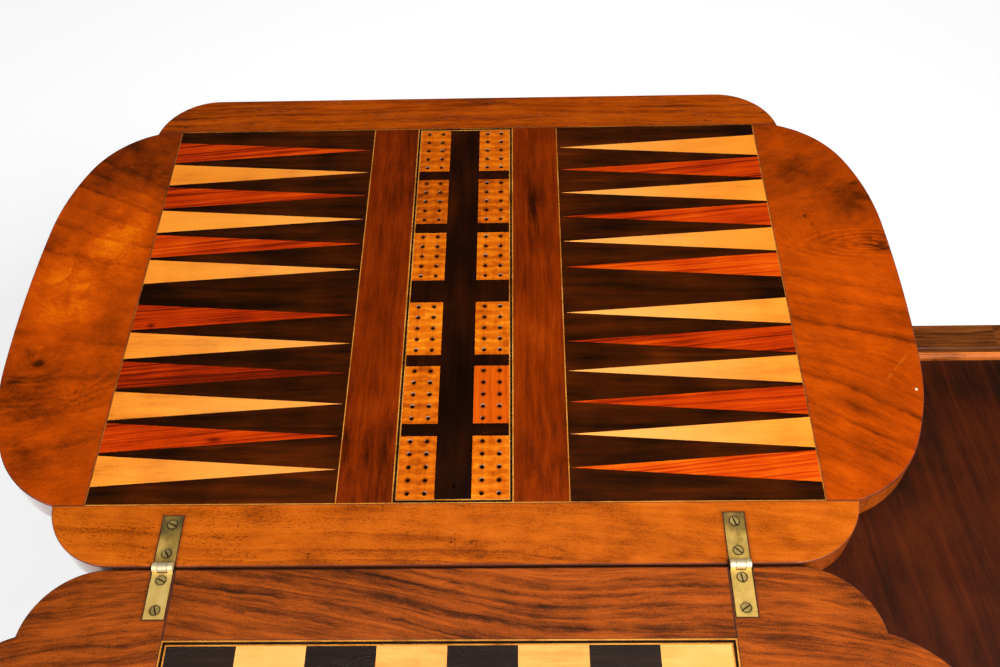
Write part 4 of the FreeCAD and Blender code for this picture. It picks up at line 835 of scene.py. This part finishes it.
use(wood("well_mahogany", well_tones, axis="y", lean=-5.0, warps=((5.0, 160, 26), (1.4, 40, 8)), rings=((9.0, 1.4, 0.08, 1.6, 80),),
         streaks=((140, 10, 0.56), (60, 4.0, 0.4)), fibre=(12, 1.1, 0.26), pores=(4, 0.8, 0.6, 0.16), mottle=(40, 0.5), rough=0.46, depth=0.015,
         extra=well_shade,
         polish={"Specular_IOR_Level": 0.14}), "well_board")
pine_tones = ((0.0, (0.12, 0.05, 0.018)), (0.3, (0.26, 0.12, 0.04)), (0.6, (0.36, 0.19, 0.07)), (1.0, (0.46, 0.27, 0.12)))
RAW = {"Specular_IOR_Level": 0.25}
use(wood("carcass_long", pine_tones, axis="y", warps=((4.0, 120, 22),), rings=((7.0, 1.6, 0.4, 1.4, 0),), streaks=((160, 6, 0.4),),
         fibre=(26, 0.8, 0.3), mottle=(60, 0.4), rough=0.66, depth=0.12, polish=RAW), "pivot_rail", "board_cleats")
use(wood("carcass_disc", under_tones, warps=((3.0, 90, 18),), rings=((6.0, 1.6, 0.35, 1.4, 0),), streaks=((140, 5, 0.4),),
         fibre=(26, 0.8, 0.3), mottle=(60, 0.35), rough=0.5, polish=RAW), "pivot_disc")
turned_tones = ((0.0, (0.018, 0.006, 0.002)), (0.25, (0.06, 0.016, 0.004)), (0.5, (0.135, 0.035, 0.007)), (0.78, (0.215, 0.06, 0.013)), (1.0, (0.31, 0.1, 0.026)))


def turned(name, axis, r0, t0):
    return wood(name, turned_tones, axis=axis, pith=(r0, t0, 0.035), warps=((5.0, 110, 26), (1.4, 34, 9)), rings=((6.0, 1.9, 0.42, 1.5, 70),),
                streaks=((170, 5, 0.5), (70, 2.2, 0.3)), fibre=(30, 0.8, 0.3), pores=(6, 0.55, 0.6, 0.22), mottle=(60, 0.28), rough=0.3)


use(turned("turned_walnut_left", "z", FRAME_X - 226.0, 14.0), "left_column", "left_hub")
use(turned("turned_walnut_right", "z", FRAME_X + 226.0, -14.0), "right_column", "right_hub")
use(turned("turned_walnut_finials", "z", FRAME_X + 30.0, 22.0), "drop_finials")
use(turned("turned_walnut_stretcher", "x", 30.0, 282.0), "stretcher")
use(turned("bearer_walnut", "y", 20.0, 560.0), "bearers")
use(turned("leg_walnut", "y", 60.0, 330.0), "front_left_leg", "back_left_leg", "front_right_leg", "back_right_leg")

# ------------------------------------------------------------------ floor, light, camera
bpy.ops.mesh.primitive_plane_add(size=60.0, location=(0.0, 0.0, -0.0005))
floor = bpy.context.object
floor.name = "floor"
g = Graph("floor_pale")
away = g.math("SQRT", g.add(g.mul(g.x, g.x), g.mul(g.y, g.y)))
fade = g.smooth(away, 900.0, 2900.0)
shade = g.noise(g.mm, (900, 900, 900), 2.0)
tint = g.ramp(shade, ((0.0, (0.8, 0.8, 0.8)), (1.0, (0.84, 0.84, 0.84))))
g.put(g.bsdf.inputs["Emission Strength"], g.lerp(fade, 0.48, 0.93))
g.finish(g.mix(fade, tint, (0.0, 0.0, 0.0)), g.lerp(shade, 0.75, 0.85), Specular_IOR_Level=0.0, Emission_Color=(1.0, 1.0, 1.0, 1.0))
floor.data.materials.append(g.material)

world = bpy.data.worlds.new("studio")
scene.world = world
world.use_nodes = True
wt = world.node_tree
wt.nodes.clear()
out = wt.nodes.new("ShaderNodeOutputWorld")
back = wt.nodes.new("ShaderNodeBackground")
way = wt.nodes.new("ShaderNodeTexCoord")
part = wt.nodes.new("ShaderNodeSeparateXYZ")
grade = wt.nodes.new("ShaderNodeValToRGB")
wt.links.new(way.outputs["Generated"], part.inputs[0])
wt.links.new(part.outputs[2], grade.inputs[0])
wt.links.new(grade.outputs[0], back.inputs["Color"])
wt.links.new(back.outputs[0], out.inputs[0])
back.inputs["Strength"].default_value = 1.0
steps = ((0.0, 0.92), (0.14, 0.85), (0.28, 0.04), (0.86, 0.02), (0.93, 0.26), (1.0, 0.4))
e = grade.color_ramp.elements
while len(e) < len(steps):
    e.new(0.5)
for i, (p, v) in enumerate(steps):
    e[i].position = p
    e[i].color = (v, v, v, 1.0)


def area(name, place, target, size, power):
    lamp = bpy.data.lights.new(name, "AREA")
    lamp.shape = "RECTANGLE"
    lamp.size, lamp.size_y = size
    lamp.energy = power
    o = bpy.data.objects.new(name, lamp)
    scene.collection.objects.link(o)
    o.location = place
    o.rotation_mode = "QUATERNION"
    o.rotation_quaternion = (Vector(target) - Vector(place)).to_track_quat("-Z", "Y")
    return o


area("key", (0.75, -0.75, 2.05), (-0.05, 0.1, 0.72), (0.7, 0.6), 45.0)
area("fill", (-1.7, -1.3, 2.3), (-0.1, 0.1, 0.72), (1.5, 1.1), 38.0)
rear = area("back", (0.4, 3.4, 1.5), (0.0, 0.0, 0.5), (2.4, 0.8), 18.0)
rear.visible_glossy = False

cam = bpy.data.cameras.new("photo_camera")
cam.sensor_fit = "HORIZONTAL"
cam.sensor_width = 36.0
cam.lens = 39.123
cam.clip_start, cam.clip_end = 0.01, 100.0
eye = bpy.data.objects.new("photo_camera", cam)
scene.collection.objects.link(eye)
tilt, yaw, roll = math.radians(52.802), math.radians(-2.144), math.radians(-2.315)
ahead = Vector((math.sin(yaw) * math.cos(tilt), math.cos(yaw) * math.cos(tilt), -math.sin(tilt)))
level = Vector((math.cos(yaw), -math.sin(yaw), 0.0))
above = level.cross(ahead)
right = level * math.cos(roll) + above * math.sin(roll)
up = above * math.cos(roll) - level * math.sin(roll)
turn = Matrix((right, up, -ahead)).transposed().to_4x4()
eye.matrix_world = Matrix.Translation((-0.054645, -0.28355, 1.34041)) @ turn
scene.camera = eye
scene.view_settings.view_transform = "Standard"
scene.view_settings.look = "None"
